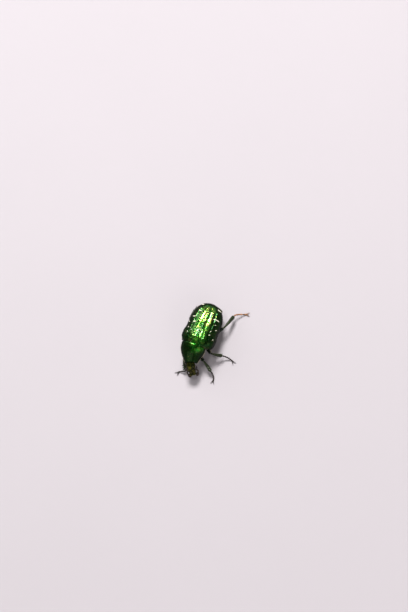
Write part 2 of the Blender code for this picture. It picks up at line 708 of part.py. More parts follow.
def leg_cutters(pairs):
    """What the sockets of the hips and the grooves under the thighs are cut with."""
    cutters = []
    for name, leg in LEGS.items():
        pair = name.split("_")[0]
        if pair in pairs:
            cutters.append(make_coxa(pair, leg, GAP, "cut"))
            cutters.append(make_femur(pair, "cut", leg, GAP))
    return cutters


def make_thorax():
    """The middle and hind thorax under the wing cases, with the knob between the middle legs."""
    places = [-3.62, -3.5, -3.3, -3.05, -2.6, -2.0, -1.2, -0.4, 0.5, THORAX_REAR]
    rings = []
    for y in places:
        ring = trunk_ring(y)
        middle = ring.mean(axis=0)
        shrink = 1 - 0.22 * (max(-3.0 - y, 0) / 0.62) ** 2 - 0.05 * min(max((-1.2 - y) / 1.0, 0), 1)
        rings.append(middle + (ring - middle) * shrink)
    thorax = loft("thorax", rings, "copper")
    thorax = boolean(thorax, [ellipsoid("knob", KNOB[:3], (KNOB[3], KNOB[3] * 1.15, KNOB[3] * 0.85), 12)], "UNION")
    cutters = [make_prothorax(GAP, "cut", None)]
    cutters += leg_cutters(("middle", "rear"))
    return boolean(thorax, cutters, "DIFFERENCE")


def make_abdomen():
    """The belly plates, each over the next, cut off where the pygidium starts."""
    places = [THORAX_REAR + GAP]
    for end in STERNITE_ENDS:
        places += [(places[-1] + end) / 2, end - 0.02, end + 0.1]
    places += [6.7, 7.05]
    places = np.array(places)
    steps = sternite_step(places)
    abdomen = loft("abdomen", [trunk_ring(y, step=s) for y, s in zip(places, steps)], "copper")
    cutters = [make_pygidium(GAP, "cut", None)]
    cutters += leg_cutters(("rear",))
    return boolean(abdomen, cutters, "DIFFERENCE")


def make_pygidium(grow=0.0, name="pygidium", colour="green"):
    """The domed plate behind the belly."""
    axes = np.array([
        [1.0, 0, 0],
        [0, math.cos(PYGIDIUM_LEAN), -math.sin(PYGIDIUM_LEAN)],
        [0, math.sin(PYGIDIUM_LEAN), math.cos(PYGIDIUM_LEAN)],
    ])
    half, bulge, height = (r + grow for r in PYGIDIUM_HALF)
    rings = []
    for place in (-0.35 - grow, 0.0, 0.35, 0.62, 0.84, 0.96):
        share = math.sqrt(max(1 - max(place, 0) ** 2.2, 0))
        depth = place * bulge if place > 0 else place
        ring = []
        for turn in np.linspace(0, 2 * math.pi, 22, endpoint=False):
            local = np.array([half * share * math.sin(turn), depth, height * share * math.cos(turn)])
            ring.append(np.array(PYGIDIUM_PLACE) + local @ axes)
        rings.append(ring)
    return loft(name, rings, colour)


def make_legs():
    for name, leg in LEGS.items():
        pair = name.split("_")[0]
        coxa = make_coxa(pair, leg, name=f"coxa_{name}")
        femur = make_femur(pair, name, leg)
        hip, knee = np.array(leg[0]), np.array(leg[1])
        along = (knee - hip) / np.linalg.norm(knee - hip)
        sizes = np.array([1.3, 1.3]) * FEMUR_SIZES[pair][0] + 0.5
        path = [hip + along * 0.35, hip + along * 2.2]
        boolean(coxa, [tube("cut", path, sizes, sizes, np.array([0, 0, 1.0]), 10)], "DIFFERENCE")
        make_tibia(pair, name, leg)
        make_tarsus(name, leg)
        femur.data.update()


def clear_scene():
    for node in list(bpy.data.objects):
        bpy.data.objects.remove(node)


def main():
    clear_scene()
    for side in (-1, 1):
        make_elytron(side)
        make_eye(side)
    make_scutellum()
    boolean(make_prothorax(), leg_cutters(("front",)), "DIFFERENCE")
    make_head()
    make_thorax()
    make_abdomen()
    make_pygidium()
    for side in (-1, 1):
        make_feeler(side)
    make_mouthparts()
    make_legs()


main()
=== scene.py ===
# The looks of the rose chafer model: fine shapes, finishes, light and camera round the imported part.
# The head points to -Y, the back up to +Z, and the animal's left side is at +X.
# Sizes are millimetres on the animal, and the meshes are written in metres.
import itertools
import math

import bpy
import numpy as np
from mathutils import Matrix, Vector

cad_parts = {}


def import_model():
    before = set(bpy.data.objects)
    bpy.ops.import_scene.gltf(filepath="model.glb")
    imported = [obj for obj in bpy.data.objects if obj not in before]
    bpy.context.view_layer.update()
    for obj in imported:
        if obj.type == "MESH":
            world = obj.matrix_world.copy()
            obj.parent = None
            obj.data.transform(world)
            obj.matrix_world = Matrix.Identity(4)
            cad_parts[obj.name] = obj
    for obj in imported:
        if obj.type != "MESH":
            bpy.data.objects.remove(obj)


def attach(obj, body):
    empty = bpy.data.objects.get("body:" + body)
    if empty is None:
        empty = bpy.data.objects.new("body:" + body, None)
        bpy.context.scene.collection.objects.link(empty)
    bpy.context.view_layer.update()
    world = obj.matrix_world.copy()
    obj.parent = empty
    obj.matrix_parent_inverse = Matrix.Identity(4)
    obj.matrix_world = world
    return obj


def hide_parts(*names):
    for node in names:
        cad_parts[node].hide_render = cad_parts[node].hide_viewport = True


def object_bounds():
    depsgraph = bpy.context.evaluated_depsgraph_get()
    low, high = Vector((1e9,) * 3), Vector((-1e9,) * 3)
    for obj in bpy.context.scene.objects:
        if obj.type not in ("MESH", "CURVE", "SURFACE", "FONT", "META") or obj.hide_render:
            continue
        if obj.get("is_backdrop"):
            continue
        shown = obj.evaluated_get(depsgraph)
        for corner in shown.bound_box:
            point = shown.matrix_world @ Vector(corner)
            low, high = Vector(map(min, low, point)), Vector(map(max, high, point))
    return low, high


MM = 0.001
ORIGIN = np.array([2.68, -1.02, 0.0])

# Wing cases
ELYTRA_FRONT = -3.1
SHOULDER_ADVANCE = 0.15
ELYTRA_REAR = 7.95
ELYTRA_ROUND_FROM = 1.6
ELYTRA_SHELL = 0.3
SHELL_GAP = 0.12  # between the wing cases and the trunk under them
ELYTRA_FLATNESS = 2.55
ELYTRA_TUCK = 1.2
ELYTRA_LAST_TURN = math.radians(100)
SUTURE_HALF = 0.02
ELYTRA_ROWS = 250
ELYTRA_COLUMNS = 126
# Place along the body, half width, height of the side margin, height of the back.
ELYTRA_STATIONS = (
    (-3.2, 3.75, 5.60, 8.18),
    (-2.2, 4.33, 5.40, 8.36),
    (-0.8, 4.42, 5.15, 8.45),
    (0.6, 4.18, 4.95, 8.44),
    (2.2, 4.16, 4.80, 8.38),
    (4.5, 4.10, 4.75, 8.25),
    (8.0, 3.92, 5.45, 8.10),
)
# How much more golden the wing cases are painted round this place along the body: a painted golden sheen
# where the highlight falls.
PAINTED_GOLD_SHEEN = 0.6
PAINTED_GOLD_SHEEN_PLACE = 4.3
# The two ribs: their shares of the half width, and where they start, are full, fade and end.
COSTA_PLACES = (0.36, 0.63)
COSTA_RUN = (-2.4, 0.4, 6.0, 7.3)
COSTA_HEIGHT = 0.1
COSTA_WIDTH = 0.04
# Hollows beside the inner rib: depth, share of the half width, width, and run as of the ribs.
ELYTRA_HOLLOWS = (
    (0.07, 0.2, 0.1, (0.2, 2.2, 5.0, 6.6)),
    (0.05, 0.5, 0.08, (-1.0, 1.0, 5.4, 6.8)),
)
# Humps at the shoulder and near the rear: x, y, height, radius.
HUMERUS = (3.15, -1.75, 0.16, 0.75)
APEX_HUMP = (2.15, 5.9, 0.16, 0.7)
# Chalky marks: side (1 left, -1 right), x, y, half length, half width, slant in degrees, bow.
CHALK_MARKS = (
    (1, 2.30, 6.90, 0.48, 0.13, -14, 0.0),
    (1, 2.66, 4.36, 0.82, 0.12, 0, -0.16),
    (1, 2.95, 3.05, 0.2, 0.07, 20, 0.0),
    (1, 2.50, 1.10, 0.12, 0.08, 60, 0.0),
    (1, 2.55, 0.15, 0.16, 0.07, 30, 0.0),
    (1, 3.55, 1.90, 0.22, 0.08, 30, 0.0),
    (1, 3.75, -0.60, 0.18, 0.08, 50, 0.0),
    (-1, 2.05, 5.15, 0.34, 0.10, -10, 0.0),
    (-1, 2.30, 6.90, 0.42, 0.11, -14, 0.0),
    (-1, 2.90, 3.25, 0.44, 0.11, -20, 0.1),
    (-1, 2.25, 2.05, 0.42, 0.10, -28, 0.0),
    (-1, 3.24, 0.20, 0.16, 0.07, 30, 0.0),
    (-1, 2.98, -0.95, 0.18, 0.08, 70, 0.0),
    (-1, 2.27, -0.20, 0.12, 0.06, 10, 0.0),
    (-1, 3.70, 1.60, 0.2, 0.08, 30, 0.0),
)

# The collar between pronotum and wing cases, and the turn and height of the bulge at its corners.
COLLAR_REAR = -2.4
COLLAR_SHARE = 0.9
CORNER_TURN = 1.45
CORNER_BULGE = 0.16

SCUTELLUM_FRONT = -3.2
SCUTELLUM_REAR = -0.6
SCUTELLUM_HALF = 1.12
SCUTELLUM_DEPTH = 0.4
SCUTELLUM_GAP = 0.05

# Belly side of the trunk: place along the body, height of the belly, depth of the flank's inset.
BELLY_STATIONS = (
    (-3.2, 2.55, 0.75),
    (-1.6, 2.15, 0.45),
    (0.8, 2.10, 0.35),
    (2.5, 2.25, 0.38),
    (4.5, 2.60, 0.42),
    (6.4, 3.10, 0.48),
    (8.0, 3.90, 0.55),
)
BELLY_FULLNESS = 2.25
TRUNK_HALF = 3.6
LEDGE_DEPTH = 0.5
BREAST_FRONT = -3.62
BREAST_ROUND_FROM = -3.0
THORAX_REAR = 1.5
STERNITE_ENDS = (2.45, 3.45, 4.4, 5.3, 6.2)
STERNITE_STEP = 0.11
ABDOMEN_ROUND_FROM = 6.7
ABDOMEN_REAR = 7.3
# The knob between the middle legs: its middle and its radii.
KNOB_PLACE = (0.0, -2.25, 2.2)
KNOB_RADII = (0.62, 0.713, 0.527)

PYGIDIUM_PLACE = np.array([0.0, 7.12, 3.70])
PYGIDIUM_LEAN = math.radians(24)
PYGIDIUM_HALF = np.array([2.72, 0.6, 1.26])
PYGIDIUM_AXES = np.array([
    [1.0, 0, 0],
    [0, math.cos(PYGIDIUM_LEAN), -math.sin(PYGIDIUM_LEAN)],
    [0, math.sin(PYGIDIUM_LEAN), math.cos(PYGIDIUM_LEAN)],
])
# Its two chalky spots: side, distance from the middle, height, half width, half height.
PYGIDIUM_SPOTS = ((1, 1.75, 0.3, 0.22, 0.14), (-1, 1.7, 0.33, 0.2, 0.15))

# Prothorax: distance ahead of its base, half width, top, side margin and underside heights.
PROTHORAX_STATIONS = (
    (0.0, 3.03, 8.16, 5.60, 2.95),
    (0.88, 3.09, 8.04, 5.30, 2.50),
    (1.9, 2.87, 7.70, 5.05, 2.40),
    (2.93, 2.45, 7.16, 4.90, 2.65),
    (3.91, 1.93, 6.55, 4.85, 3.20),
    (4.88, 1.40, 5.95, 4.86, 3.75),
)
PROTHORAX_TOP_FULLNESS = 2.25
PROTHORAX_UNDER_FULLNESS = 1.7
PROTHORAX_BASE_BOW = 0.42
PROTHORAX_NOTCH = 0.16
PROTHORAX_FRONT_BAY = 0.28
PROTHORAX_BASE = (-0.54, -3.33)
PROTHORAX_YAW = (math.radians(6), math.radians(23))
PROTHORAX_REACH_BACK = 0.2
PROTHORAX_RIGHT_REACH = 1.6  # how much more the right hind corner reaches back, as a share of that
# Rings that close its two ends: size and depth.
PROTHORAX_CAP = ((0.96, 0.7), (0.9, 1.6), (0.6, 2.4))

HEAD_ROOT = np.array([0.62, -8.42, 4.98])
HEAD_DIP = math.radians(34)
HEAD_YAW = math.radians(35)
HEAD_FRONT = 3.02
# Along the head's own axis: place, half width, rise over the axis, depth under it.
HEAD_STATIONS = (
    (-1.2, 0.86, 0.38, 0.76),
    (-0.8, 0.96, 0.53, 0.80),
    (0.35, 1.17, 0.84, 1.00),
    (0.95, 1.19, 0.78, 1.00),
    (1.45, 0.99, 0.60, 0.82),
    (1.95, 0.84, 0.45, 0.58),
    (2.55, 0.81, 0.34, 0.40),
    (HEAD_FRONT, 0.75, 0.27, 0.27),
)
HEAD_FULLNESS = 2.7
CLYPEUS_NOTCH = 0.14
# The ledge before an eye, the jaw and the lower palp, in the head's own measures.
EYE_LEDGE = ((0.78, 1.6, 0.12), (1.03, 1.5, 0.12), (1.3, 1.3, 0.1), (1.46, 1.1, 0.07), (1.51, 0.98, 0.05))
JAW = ((0.64, 1.9, -0.55), (0.67, 2.35, -0.52), (0.52, 2.7, -0.5), (0.3, 2.84, -0.48))
LOWER_PALP = ((0.16, 1.95, -1.08), (0.2, 2.3, -1.2), (0.18, 2.6, -1.22))
PALP = ((0.32, 2.12, -0.98), (0.39, 2.66, -1.06), (0.31, 3.02, -1.04))
# Joints of the palps: first and last of the points along their paths, and radius.
PALP_JOINTS = ((0, 13, 0.13), (12, 27, 0.15), (26, 38, 0.14), (37, 59, 0.17))
LOWER_PALP_JOINTS = ((0, 7, 0.08), (6, 13, 0.09), (12, 19, 0.1))
# The upper lip: its middle and radii.
LABRUM_PLACE = (0.0, 2.62, -0.34)
LABRUM_RADII = (0.54, 0.34, 0.12)
FEELER =((1.06, 1.7, -0.42), (1.43, 2.28, -0.55), (1.26, 2.95, -0.78), (0.78, 4.05, -1.02))
CLUB_HALF = 0.42
EYE_PLACE = (1.11, 0.98, 0.06)
EYE_RADII = (0.43, 0.54, 0.52)
EYE_FACETS = 1100

# Legs: hip, knee, ankle, a bend in the foot and the toe.
LEGS = {name: np.array(points) for name, points in {
    "front_left": (
        (0.85, -5.1, 2.5), (3.0, -6.1, 3.3), (5.45, -7.75, 1.6),
        (6.4, -8.5, 0.8), (6.85, -9.9, 0.19)),
    "middle_left": (
        (1.6, -1.9, 2.2), (3.95, -3.75, 4.0), (6.7, -3.05, 1.9),
        (8.2, -2.9, 0.85), (9.7, -3.35, 0.19)),
    "rear_left": (
        (1.8, 0.9, 2.25), (4.6, 3.3, 4.1), (5.6, 7.35, 2.1),
        (6.85, 8.6, 0.95), (8.3, 9.3, 0.19)),
    "front_right": (
        (-0.95, -4.9, 2.5), (-2.1, -7.05, 3.15), (-0.75, -9.7, 1.55),
        (-1.3, -10.5, 0.7), (-2.35, -11.2, 0.19)),
    "middle_right": (
        (-1.6, -1.9, 2.2), (-4.15, -3.1, 3.8), (-4.5, -0.3, 1.7),
        (-4.6, 1.0, 0.75), (-4.7, 2.9, 0.19)),
    "rear_right": (
        (-1.8, 0.9, 2.25), (-4.45, 2.8, 3.95), (-3.95, 6.1, 1.5),
        (-3.2, 7.1, 0.7), (-1.6, 7.75, 0.19)),
}.items()}
# Widths of thigh and shin at root, middle and end, and the hips' radii and their place inwards of the joint.
FEMUR_SIZES = {"front": (0.75, 1.15, 0.75), "middle": (0.8, 1.2, 0.75), "rear": (0.9, 1.45, 0.8)}
TIBIA_SIZES = {"front": (0.55, 0.8, 0.98), "middle": (0.55, 0.72, 0.92), "rear": (0.55, 0.76, 1.0)}
COXA_RADII = {"front": (0.7, 0.8, 0.8), "middle": (0.85, 0.85, 0.65), "rear": (1.2, 0.8, 0.6)}
COXA_INWARDS = {"front": 0.12, "middle": 0.4, "rear": 0.45}
LEG_FLATNESS = 0.66
FEMUR_START = 0.42
FEMUR_CLEARANCE = 0.05
KNEE_CLEARANCE = 0.16
TIBIA_BOW = 0.1
# Teeth on the shin's outer edge: place along it and size.
FRONT_TEETH = ((0.6, 1.0), (0.79, 1.0), (0.96, 1.0))
OTHER_TEETH = ((0.52, 0.8), (0.93, 0.5))
TARSUS_WIDTH = 0.42
TARSUS_SHARES = (0.17, 0.15, 0.15, 0.16, 0.37)
TARSUS_START = 0.02
FOOT_RUN_OUT = 0.6
# Points of a claw: ahead of the toe, aside and up.
CLAW = ((-0.25, 0.05, 0.03), (0.12, 0.2, 0.14), (0.45, 0.38, 0.1), (0.75, 0.46, -0.13))

HAIR_RADIUS = 0.011
FINE_HAIR_RADIUS = 0.008
HAIR_FLOOR = 0.004  # no hair goes below this height
# The bake map of the hair: side of a hair's patch, columns, and a full turn with a little room over.
TUFT_PATCH = 0.003
CHART_COLUMNS = 8
CHART_TURN = 6.3

# The floor's sweep, in metres: where it is flat, where its wall stands and how high that is.
SWEEP_FLAT = 0.4
SWEEP_WALL = 0.85
SWEEP_HEIGHT = 0.8
FLOOR_COLOUR = (0.32, 0.293, 0.306)

# The metallic shells: bronze of their specks, partly a coppery tone and partly painted glints, green of
# grazing light, two tones of chalk, metallic value.
BRONZE = (0.5, 0.3, 0.12)
EDGE_TINT = (0.05, 0.16, 0.05, 1.0)
CHALK = ((0.48, 0.44, 0.33), (0.7, 0.66, 0.54))
METALLIC = 0.92

# Light from all round, and the height in metres that the lights aim at.
SKY_COLOUR = (0.8, 0.88, 1.0, 1.0)
SKY_STRENGTH = 0.13
LIGHT_AIM = 0.004
# Soft square lights: name, direction to them, distance and side in metres, energy, colour.
LIGHTS = (
    ("sky_panel", (-0.24, 0.53, 0.84), 1.0, 0.26, 20.0, (1.0, 1.0, 1.0)),
    ("top_panel", (-0.2, 0.06, 0.98), 1.0, 0.12, 2.6, (1.0, 1.0, 1.0)),
    ("side_panel", (0.9, -0.5, 0.7), 0.6, 0.4, 0.8, (1.0, 0.98, 0.95)),
    ("far_panel", (-0.8, 0.3, 0.6), 0.6, 0.35, 0.9, (0.95, 0.97, 1.0)),
    ("front_panel", (0.0, -1.0, 0.45), 0.6, 0.4, 0.45, (1.0, 1.0, 1.0)),
)

# Camera, as it stood to the animal in the photograph.
PHOTO_WIDTH = 408
PHOTO_HEIGHT = 612
CAMERA_AZIMUTH = math.radians(61.3)
CAMERA_ELEVATION = math.radians(79.4)
CAMERA_ROLL = math.radians(-38.83)
PIXELS_PER_MM = 3.967
ORIGIN_PIXEL = (203.42, 336.37)
FOCUS = np.array([0, 2.0, 7.0])
LENS = 90.0
SENSOR = 36.0


def xyz(x, y, z):
    """Points from their three coordinates."""
    return np.stack(np.broadcast_arrays(x, y, z), axis=-1).astype(float)


def unit(vector):
    """The vector, or each of several, at length 1."""
    vector = np.asarray(vector, float)
    return vector / np.linalg.norm(vector, axis=-1, keepdims=True)


def between(a, b, shares):
    return a + np.outer(shares, b - a)


def circle(count):
    """Turns all round, evenly spaced."""
    return np.linspace(0, 2 * math.pi, count, endpoint=False)


def eased(low, high, count):
    """Shares of a length that crowd at both its ends, of which low and high cut off a little."""
    return (1 - np.cos(np.linspace(low, high, count) * math.pi)) / 2


def power(value, exponent):
    return np.sign(value) * np.abs(value) ** exponent


def bell(value, centre, width):
    return np.exp(-(((value - centre) / width) ** 2))


def ramp(value, low, high):
    """0 below low, 1 above high, smooth between."""
    t = np.clip((value - low) / (high - low), 0, 1)
    return t * t * (3 - 2 * t)


def plateau(value, start, full, fading, end):
    """0 before start and after end, 1 from full to fading."""
    return ramp(value, start, full) * ramp(-value, -end, -fading)


def rim(distance, width):
    """1 at an edge, falling to 0 at this width from it."""
    return np.clip(1 - distance / width, 0, 1) ** 2


def hump(x, y, centre_x, centre_y, height, radius):
    return height * np.exp(-((x - centre_x) ** 2 + (y - centre_y) ** 2) / radius**2)


def hermite(x, y, tangent, place):
    """The smooth curve through the values y at x that has these slopes there."""
    i = np.clip(np.searchsorted(x, place) - 1, 0, len(x) - 2)
    step = x[i + 1] - x[i]
    t = (place - x[i]) / step
    return (
        (2 * t**3 - 3 * t**2 + 1) * y[i]
        + (t**3 - 2 * t**2 + t) * step * tangent[i]
        + (3 * t**2 - 2 * t**3) * y[i + 1]
        + (t**3 - t**2) * step * tangent[i + 1]
    )


def smooth(stations, place):
    """The values of a station table at some places along, on smooth curves that don't overshoot."""
    x, *columns = np.array(stations, float).T
    place = np.clip(np.asarray(place, float), x[0], x[-1])
    values = []
    for y in columns:
        slope = np.diff(y) / np.diff(x)
        tangent = np.concatenate([slope[:1], np.zeros(len(x) - 2), slope[-1:]])
        for i in range(1, len(x) - 1):
            if slope[i - 1] * slope[i] > 0:
                tangent[i] = 2 * slope[i - 1] * slope[i] / (slope[i - 1] + slope[i])
        values.append(hermite(x, y, tangent, place))
    return values


def smooth_path(points, count):
    """A smooth curve through some points."""
    knots = np.linspace(0, 1, len(points))
    places = np.linspace(0, 1, count)
    return xyz(*(hermite(knots, y, np.gradient(y, knots), places) for y in np.array(points, float).T))


def random_at(cell, seed):
    """A repeatable number from 0 to 1 for each whole-number cell."""
    salt = np.array([127.1, 311.7, 74.7])[: cell.shape[-1]]
    return np.modf(np.abs(np.sin(cell @ salt + seed * 53.97) * 43758.5453))[0]


def value_noise(points, size, seed):
    """Smooth noise from -1 to 1 with lumps of the given size."""
    place = points / size
    base = np.floor(place)
    t = place - base
    t = t * t * (3 - 2 * t)
    total = 0
    for corner in itertools.product((0, 1), repeat=place.shape[-1]):
        corner = np.array(corner)
        weight = np.where(corner == 1, t, 1 - t).prod(axis=-1)
        total = total + weight * random_at(base + corner, seed)
    return total * 2 - 1


def dots_near(points, spacing, seed, keep, margin):
    """For the random dot of each cell around: the way from it, whether it is there, and its cell."""
    base = np.floor(points / spacing)
    for offset in itertools.product((-1, 0, 1), repeat=points.shape[-1]):
        cell = base + np.array(offset)
        jitter = np.stack([random_at(cell, seed + 11 * k) for k in range(points.shape[-1])], axis=-1)
        away = points - (cell + margin + (1 - 2 * margin) * jitter) * spacing
        yield away, random_at(cell, seed + 47) < keep, cell


def pits(points, spacing, radius, seed, keep):
    """1 at the middle of randomly set round pits, falling to 0 at their rims."""
    deepest = np.zeros(points.shape[:-1])
    for away, there, _ in dots_near(points, spacing, seed, keep, 0.12):
        depth = np.clip(1 - (away**2).sum(axis=-1) / radius**2, 0, 1)
        deepest = np.maximum(deepest, np.where(there, depth, 0))
    return deepest


def horseshoes(across, along, spacing, radius, seed, keep):
    """1 on the arcs of randomly set horseshoe-shaped punctures that open to the rear."""
    deepest = np.zeros(across.shape)
    for away, there, cell in dots_near(np.stack([across, along], axis=-1), spacing, seed, keep, 0.1):
        size = radius * (0.7 + 0.6 * random_at(cell, seed + 23))
        arc = bell(np.linalg.norm(away, axis=-1) / size, 0.8, 0.42)
        depth = arc * ramp(-away[..., 1] / size, -0.75, 0.15)
        deepest = np.maximum(deepest, np.where(there, depth, 0))
    return deepest


def grid_normals(grid, closed=False):
    """Unit normals of a grid of points; with closed, its columns run round in a ring."""
    rows = np.gradient(grid, axis=0)
    if closed:
        columns = np.roll(grid, -1, axis=1) - np.roll(grid, 1, axis=1)
    else:
        columns = np.gradient(grid, axis=1)
    normal = np.cross(columns, rows)
    normal = normal / np.maximum(np.linalg.norm(normal, axis=-1, keepdims=True), 1e-9)
    if closed and (normal * (grid - grid.mean(axis=1, keepdims=True))).sum() < 0:
        normal = -normal
    return normal


def raised(grid, normal, relief):
    return grid + normal * relief[..., None]


def shrunk(ring, share):
    """The ring drawn in towards its middle."""
    middle = ring.mean(axis=0)
    return middle + (ring - middle) * share


def grid_faces(rows, columns, ring=False):
    i = np.arange(rows - 1)[:, None]
    j = np.arange(columns if ring else columns - 1)[None, :]
    k = (j + 1) % columns
    corners = [i * columns + j, i * columns + k, (i + 1) * columns + k, (i + 1) * columns + j]
    return np.stack(corners, axis=-1).reshape(-1, 4)


def closed_form(rings):
    """Points and faces of a closed body through rings, with a fan over each end."""
    rings = np.asarray(rings, float)
    rows, columns = rings.shape[:2]
    points = np.concatenate([rings.reshape(-1, 3), [rings[0].mean(axis=0), rings[-1].mean(axis=0)]])
    faces = grid_faces(rows, columns, True).tolist()
    for end, first in ((0, 0), (1, (rows - 1) * columns)):
        middle = rows * columns + end
        for j in range(columns):
            pair = (first + j, first + (j + 1) % columns)
            faces.append([*(pair if end else pair[::-1]), middle])
    return points, faces


def relief_form(rings, relief):
    """A closed body through rings whose surface is raised by the relief."""
    return closed_form(raised(rings, grid_normals(rings, True), relief))


def shell_form(outer, inner):
    """Points and faces of a closed shell between two grids, with a wall round their edges."""
    rows, columns = outer.shape[:2]
    count = rows * columns
    top = grid_faces(rows, columns)
    place = np.arange(count).reshape(rows, columns)
    edge = np.concatenate([place[:, 0], place[-1, 1:], place[-2::-1, -1], place[0, -2:0:-1]]).tolist()
    faces = top.tolist() + (top[:, ::-1] + count).tolist()
    faces += [[b, a, count + a, count + b] for a, b in zip(edge, edge[1:] + edge[:1])]
    return np.concatenate([outer.reshape(-1, 3), inner.reshape(-1, 3)]), faces


def joined(forms):
    """One list of points and faces from several."""
    faces = []
    count = 0
    for form_points, form_faces in forms:
        faces += [[corner + count for corner in face] for face in form_faces]
        count += len(form_points)
    return np.concatenate([form[0] for form in forms]), faces


def tube_rings(path, widths, thicknesses, up, sides, fullness=2.0):
    """Oval rings along a path; the width lies across the path and up, the thickness along up."""
    tangent = unit(np.gradient(path, axis=0))
    level = unit(np.cross(tangent, up))
    rise = np.cross(level, tangent)
    across = power(np.cos(circle(sides)), 2 / fullness)[None, :, None]
    over = power(np.sin(circle(sides)), 2 / fullness)[None, :, None]
    half_width = widths[:, None, None] / 2
    half_thickness = thicknesses[:, None, None] / 2
    return path[:, None] + half_width * across * level[:, None] + half_thickness * over * rise[:, None]


def tube(*shape):
    return closed_form(tube_rings(*shape))


def domed(shares, root, end):
    """1 along a segment, falling to 0 at both ends as a round end does."""
    parts = (np.clip(shares / root, 0, 1), np.clip((1 - shares) / end, 0, 1))
    return np.minimum(*(np.sqrt(np.clip(1 - (1 - part) ** 2, 0, 1)) for part in parts))


def segment_form(a, b, radii, up, sides, rows=16, flat=1.0, ends=(0.22, 0.14)):
    """A rounded joint of a limb from a to b, with its radii at the root, middle and end."""
    shares = eased(0.03, 0.97, rows)
    size = np.interp(shares, [0, 0.5, 1], radii) * np.maximum(domed(shares, *ends), 0.12)
    return tube(between(a, b, shares), 2 * size, 2 * size * flat, up, sides)


def spine_form(root, tip, radius, sides, rows, bend=(0, 0, 0)):
    """A spine from root to tip that may bow towards bend."""
    t = np.linspace(0, 1, rows)
    path = between(root, tip, t) + np.outer(np.sin(t * math.pi), bend)
    sizes = 2 * radius * (0.12 + 0.88 * (1 - t) ** 0.8)
    up = unit(np.cross(unit(tip - root), [0.31, 0.17, 0.93]))
    return tube(path, sizes, sizes, up, sides)


def ellipsoid_form(centre, radii, rows, sides, axes=np.eye(3), relief=None):
    """A closed ellipsoid whose rings run along its second axis."""
    around = np.linspace(0, math.pi, rows + 2)[1:-1][:, None]
    turns = circle(sides)
    ball = xyz(np.sin(around) * np.cos(turns), -np.cos(around), np.sin(around) * np.sin(turns))
    swell = 1 if relief is None else relief(ball)[..., None]
    points, faces = closed_form(centre + (ball * radii * swell) @ axes)
    points[-2:] = centre + np.outer([-radii[1], radii[1]], axes[1])
    return points, faces


def added(name, data):
    """A new object in the scene."""
    made = bpy.data.objects.new(name, data)
    bpy.context.scene.collection.objects.link(made)
    return made


def outwards(mesh):
    """Turns the faces outwards if the closed mesh is inside out."""
    mesh.calc_loop_triangles()
    spots = np.zeros(len(mesh.vertices) * 3)
    mesh.vertices.foreach_get("co", spots)
    corners = np.zeros(len(mesh.loop_triangles) * 3, dtype=np.int32)
    mesh.loop_triangles.foreach_get("vertices", corners)
    a, b, c = np.moveaxis(spots.reshape(-1, 3)[corners.reshape(-1, 3)], 1, 0)
    if (a * np.cross(b, c)).sum() < 0:
        mesh.flip_normals()


def piece(name, form, finish, nodes=(), marks=None):
    """An object that rides on the model, from points in millimetres and faces, with its finish."""
    points, faces = form
    mesh = bpy.data.meshes.new(name)
    mesh.from_pydata(((points - ORIGIN) * MM).tolist(), [], faces)
    outwards(mesh)
    for key, values in (marks or {}).items():
        attribute = mesh.attributes.new(key, "FLOAT", "POINT")
        attribute.data.foreach_set("value", np.asarray(values, np.float32).ravel())
    mesh.materials.append(finish)
    mesh.shade_smooth()
    made = added(name, mesh)
    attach(made, "root")
    if nodes:
        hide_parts(*nodes)
    return made


def scaled(colour, share):
    return tuple(c * share for c in colour)


class Finish:
    """A material that is being put together from nodes."""

    def __init__(self, name):
        self.material = bpy.data.materials.new(name)
        self.material.use_nodes = True
        self.tree = self.material.node_tree
        place = self.node("TexCoord", {}).outputs["Object"]
        self.place = self.node("VectorMath", {0: place, "Scale": 1 / MM}, operation="SCALE").outputs[0]

    def fill(self, sockets, values):
        """Sets or links sockets, each with a number, a colour or another node's output."""
        for key, value in values.items():
            if isinstance(value, bpy.types.NodeSocket):
                self.tree.links.new(value, sockets[key])
            else:
                sockets[key].default_value = value

    def node(self, kind, values, **settings):
        made = self.tree.nodes.new("ShaderNode" + kind)
        for key, value in settings.items():
            setattr(made, key, value)
        self.fill(made.inputs, values)
        return made

    def noise(self, scale, detail=3.0, roughness=0.55, distortion=0.0):
        values = {"Scale": scale, "Detail": detail, "Roughness": roughness, "Distortion": distortion}
        return self.node("TexNoise", {**values, "Vector": self.place}).outputs["Fac"]

    def cells(self, scale, feature="F1"):
        values = {"Scale": scale, "Vector": self.place}
        return self.node("TexVoronoi", values, feature=feature).outputs["Distance"]

    def attribute(self, name):
        return self.node("Attribute", {}, attribute_name=name).outputs["Fac"]

    def spread(self, value, low, high, to_low=0.0, to_high=1.0):
        """Maps value from low..high to another range, clamped."""
        values = {"From Min": low, "From Max": high, "To Min": to_low, "To Max": to_high, "Value": value}
        return self.node("MapRange", values).outputs["Result"]

    def maths(self, operation, a, b):
        return self.node("Math", {0: a, 1: b}, operation=operation).outputs[0]

    def mix(self, share, a, b):
        """A colour between a and b, each a colour or an output."""
        a, b = ((*c, 1.0) if isinstance(c, tuple) else c for c in (a, b))
        return self.node("Mix", {"Factor": share, 6: a, 7: b}, data_type="RGBA").outputs[2]

    def tinted(self, colour, mask, amount, tint):
        """The colour with that amount of the tint where the mask is 1."""
        return self.mix(self.maths("MULTIPLY", mask, amount), colour, tint)

    def bump(self, height, distance, strength, under=None):
        values = {"Distance": distance * MM, "Strength": strength, "Height": height}
        if under is not None:
            values["Normal"] = under
        return self.node("Bump", values).outputs["Normal"]

    def done(self, **values):
        """The material, with the shader's sockets set or linked; a name's underscores stand for spaces."""
        shader = self.tree.nodes["Principled BSDF"]
        self.fill(shader.inputs, {key.replace("_", " "): value for key, value in values.items()})
        return self.material


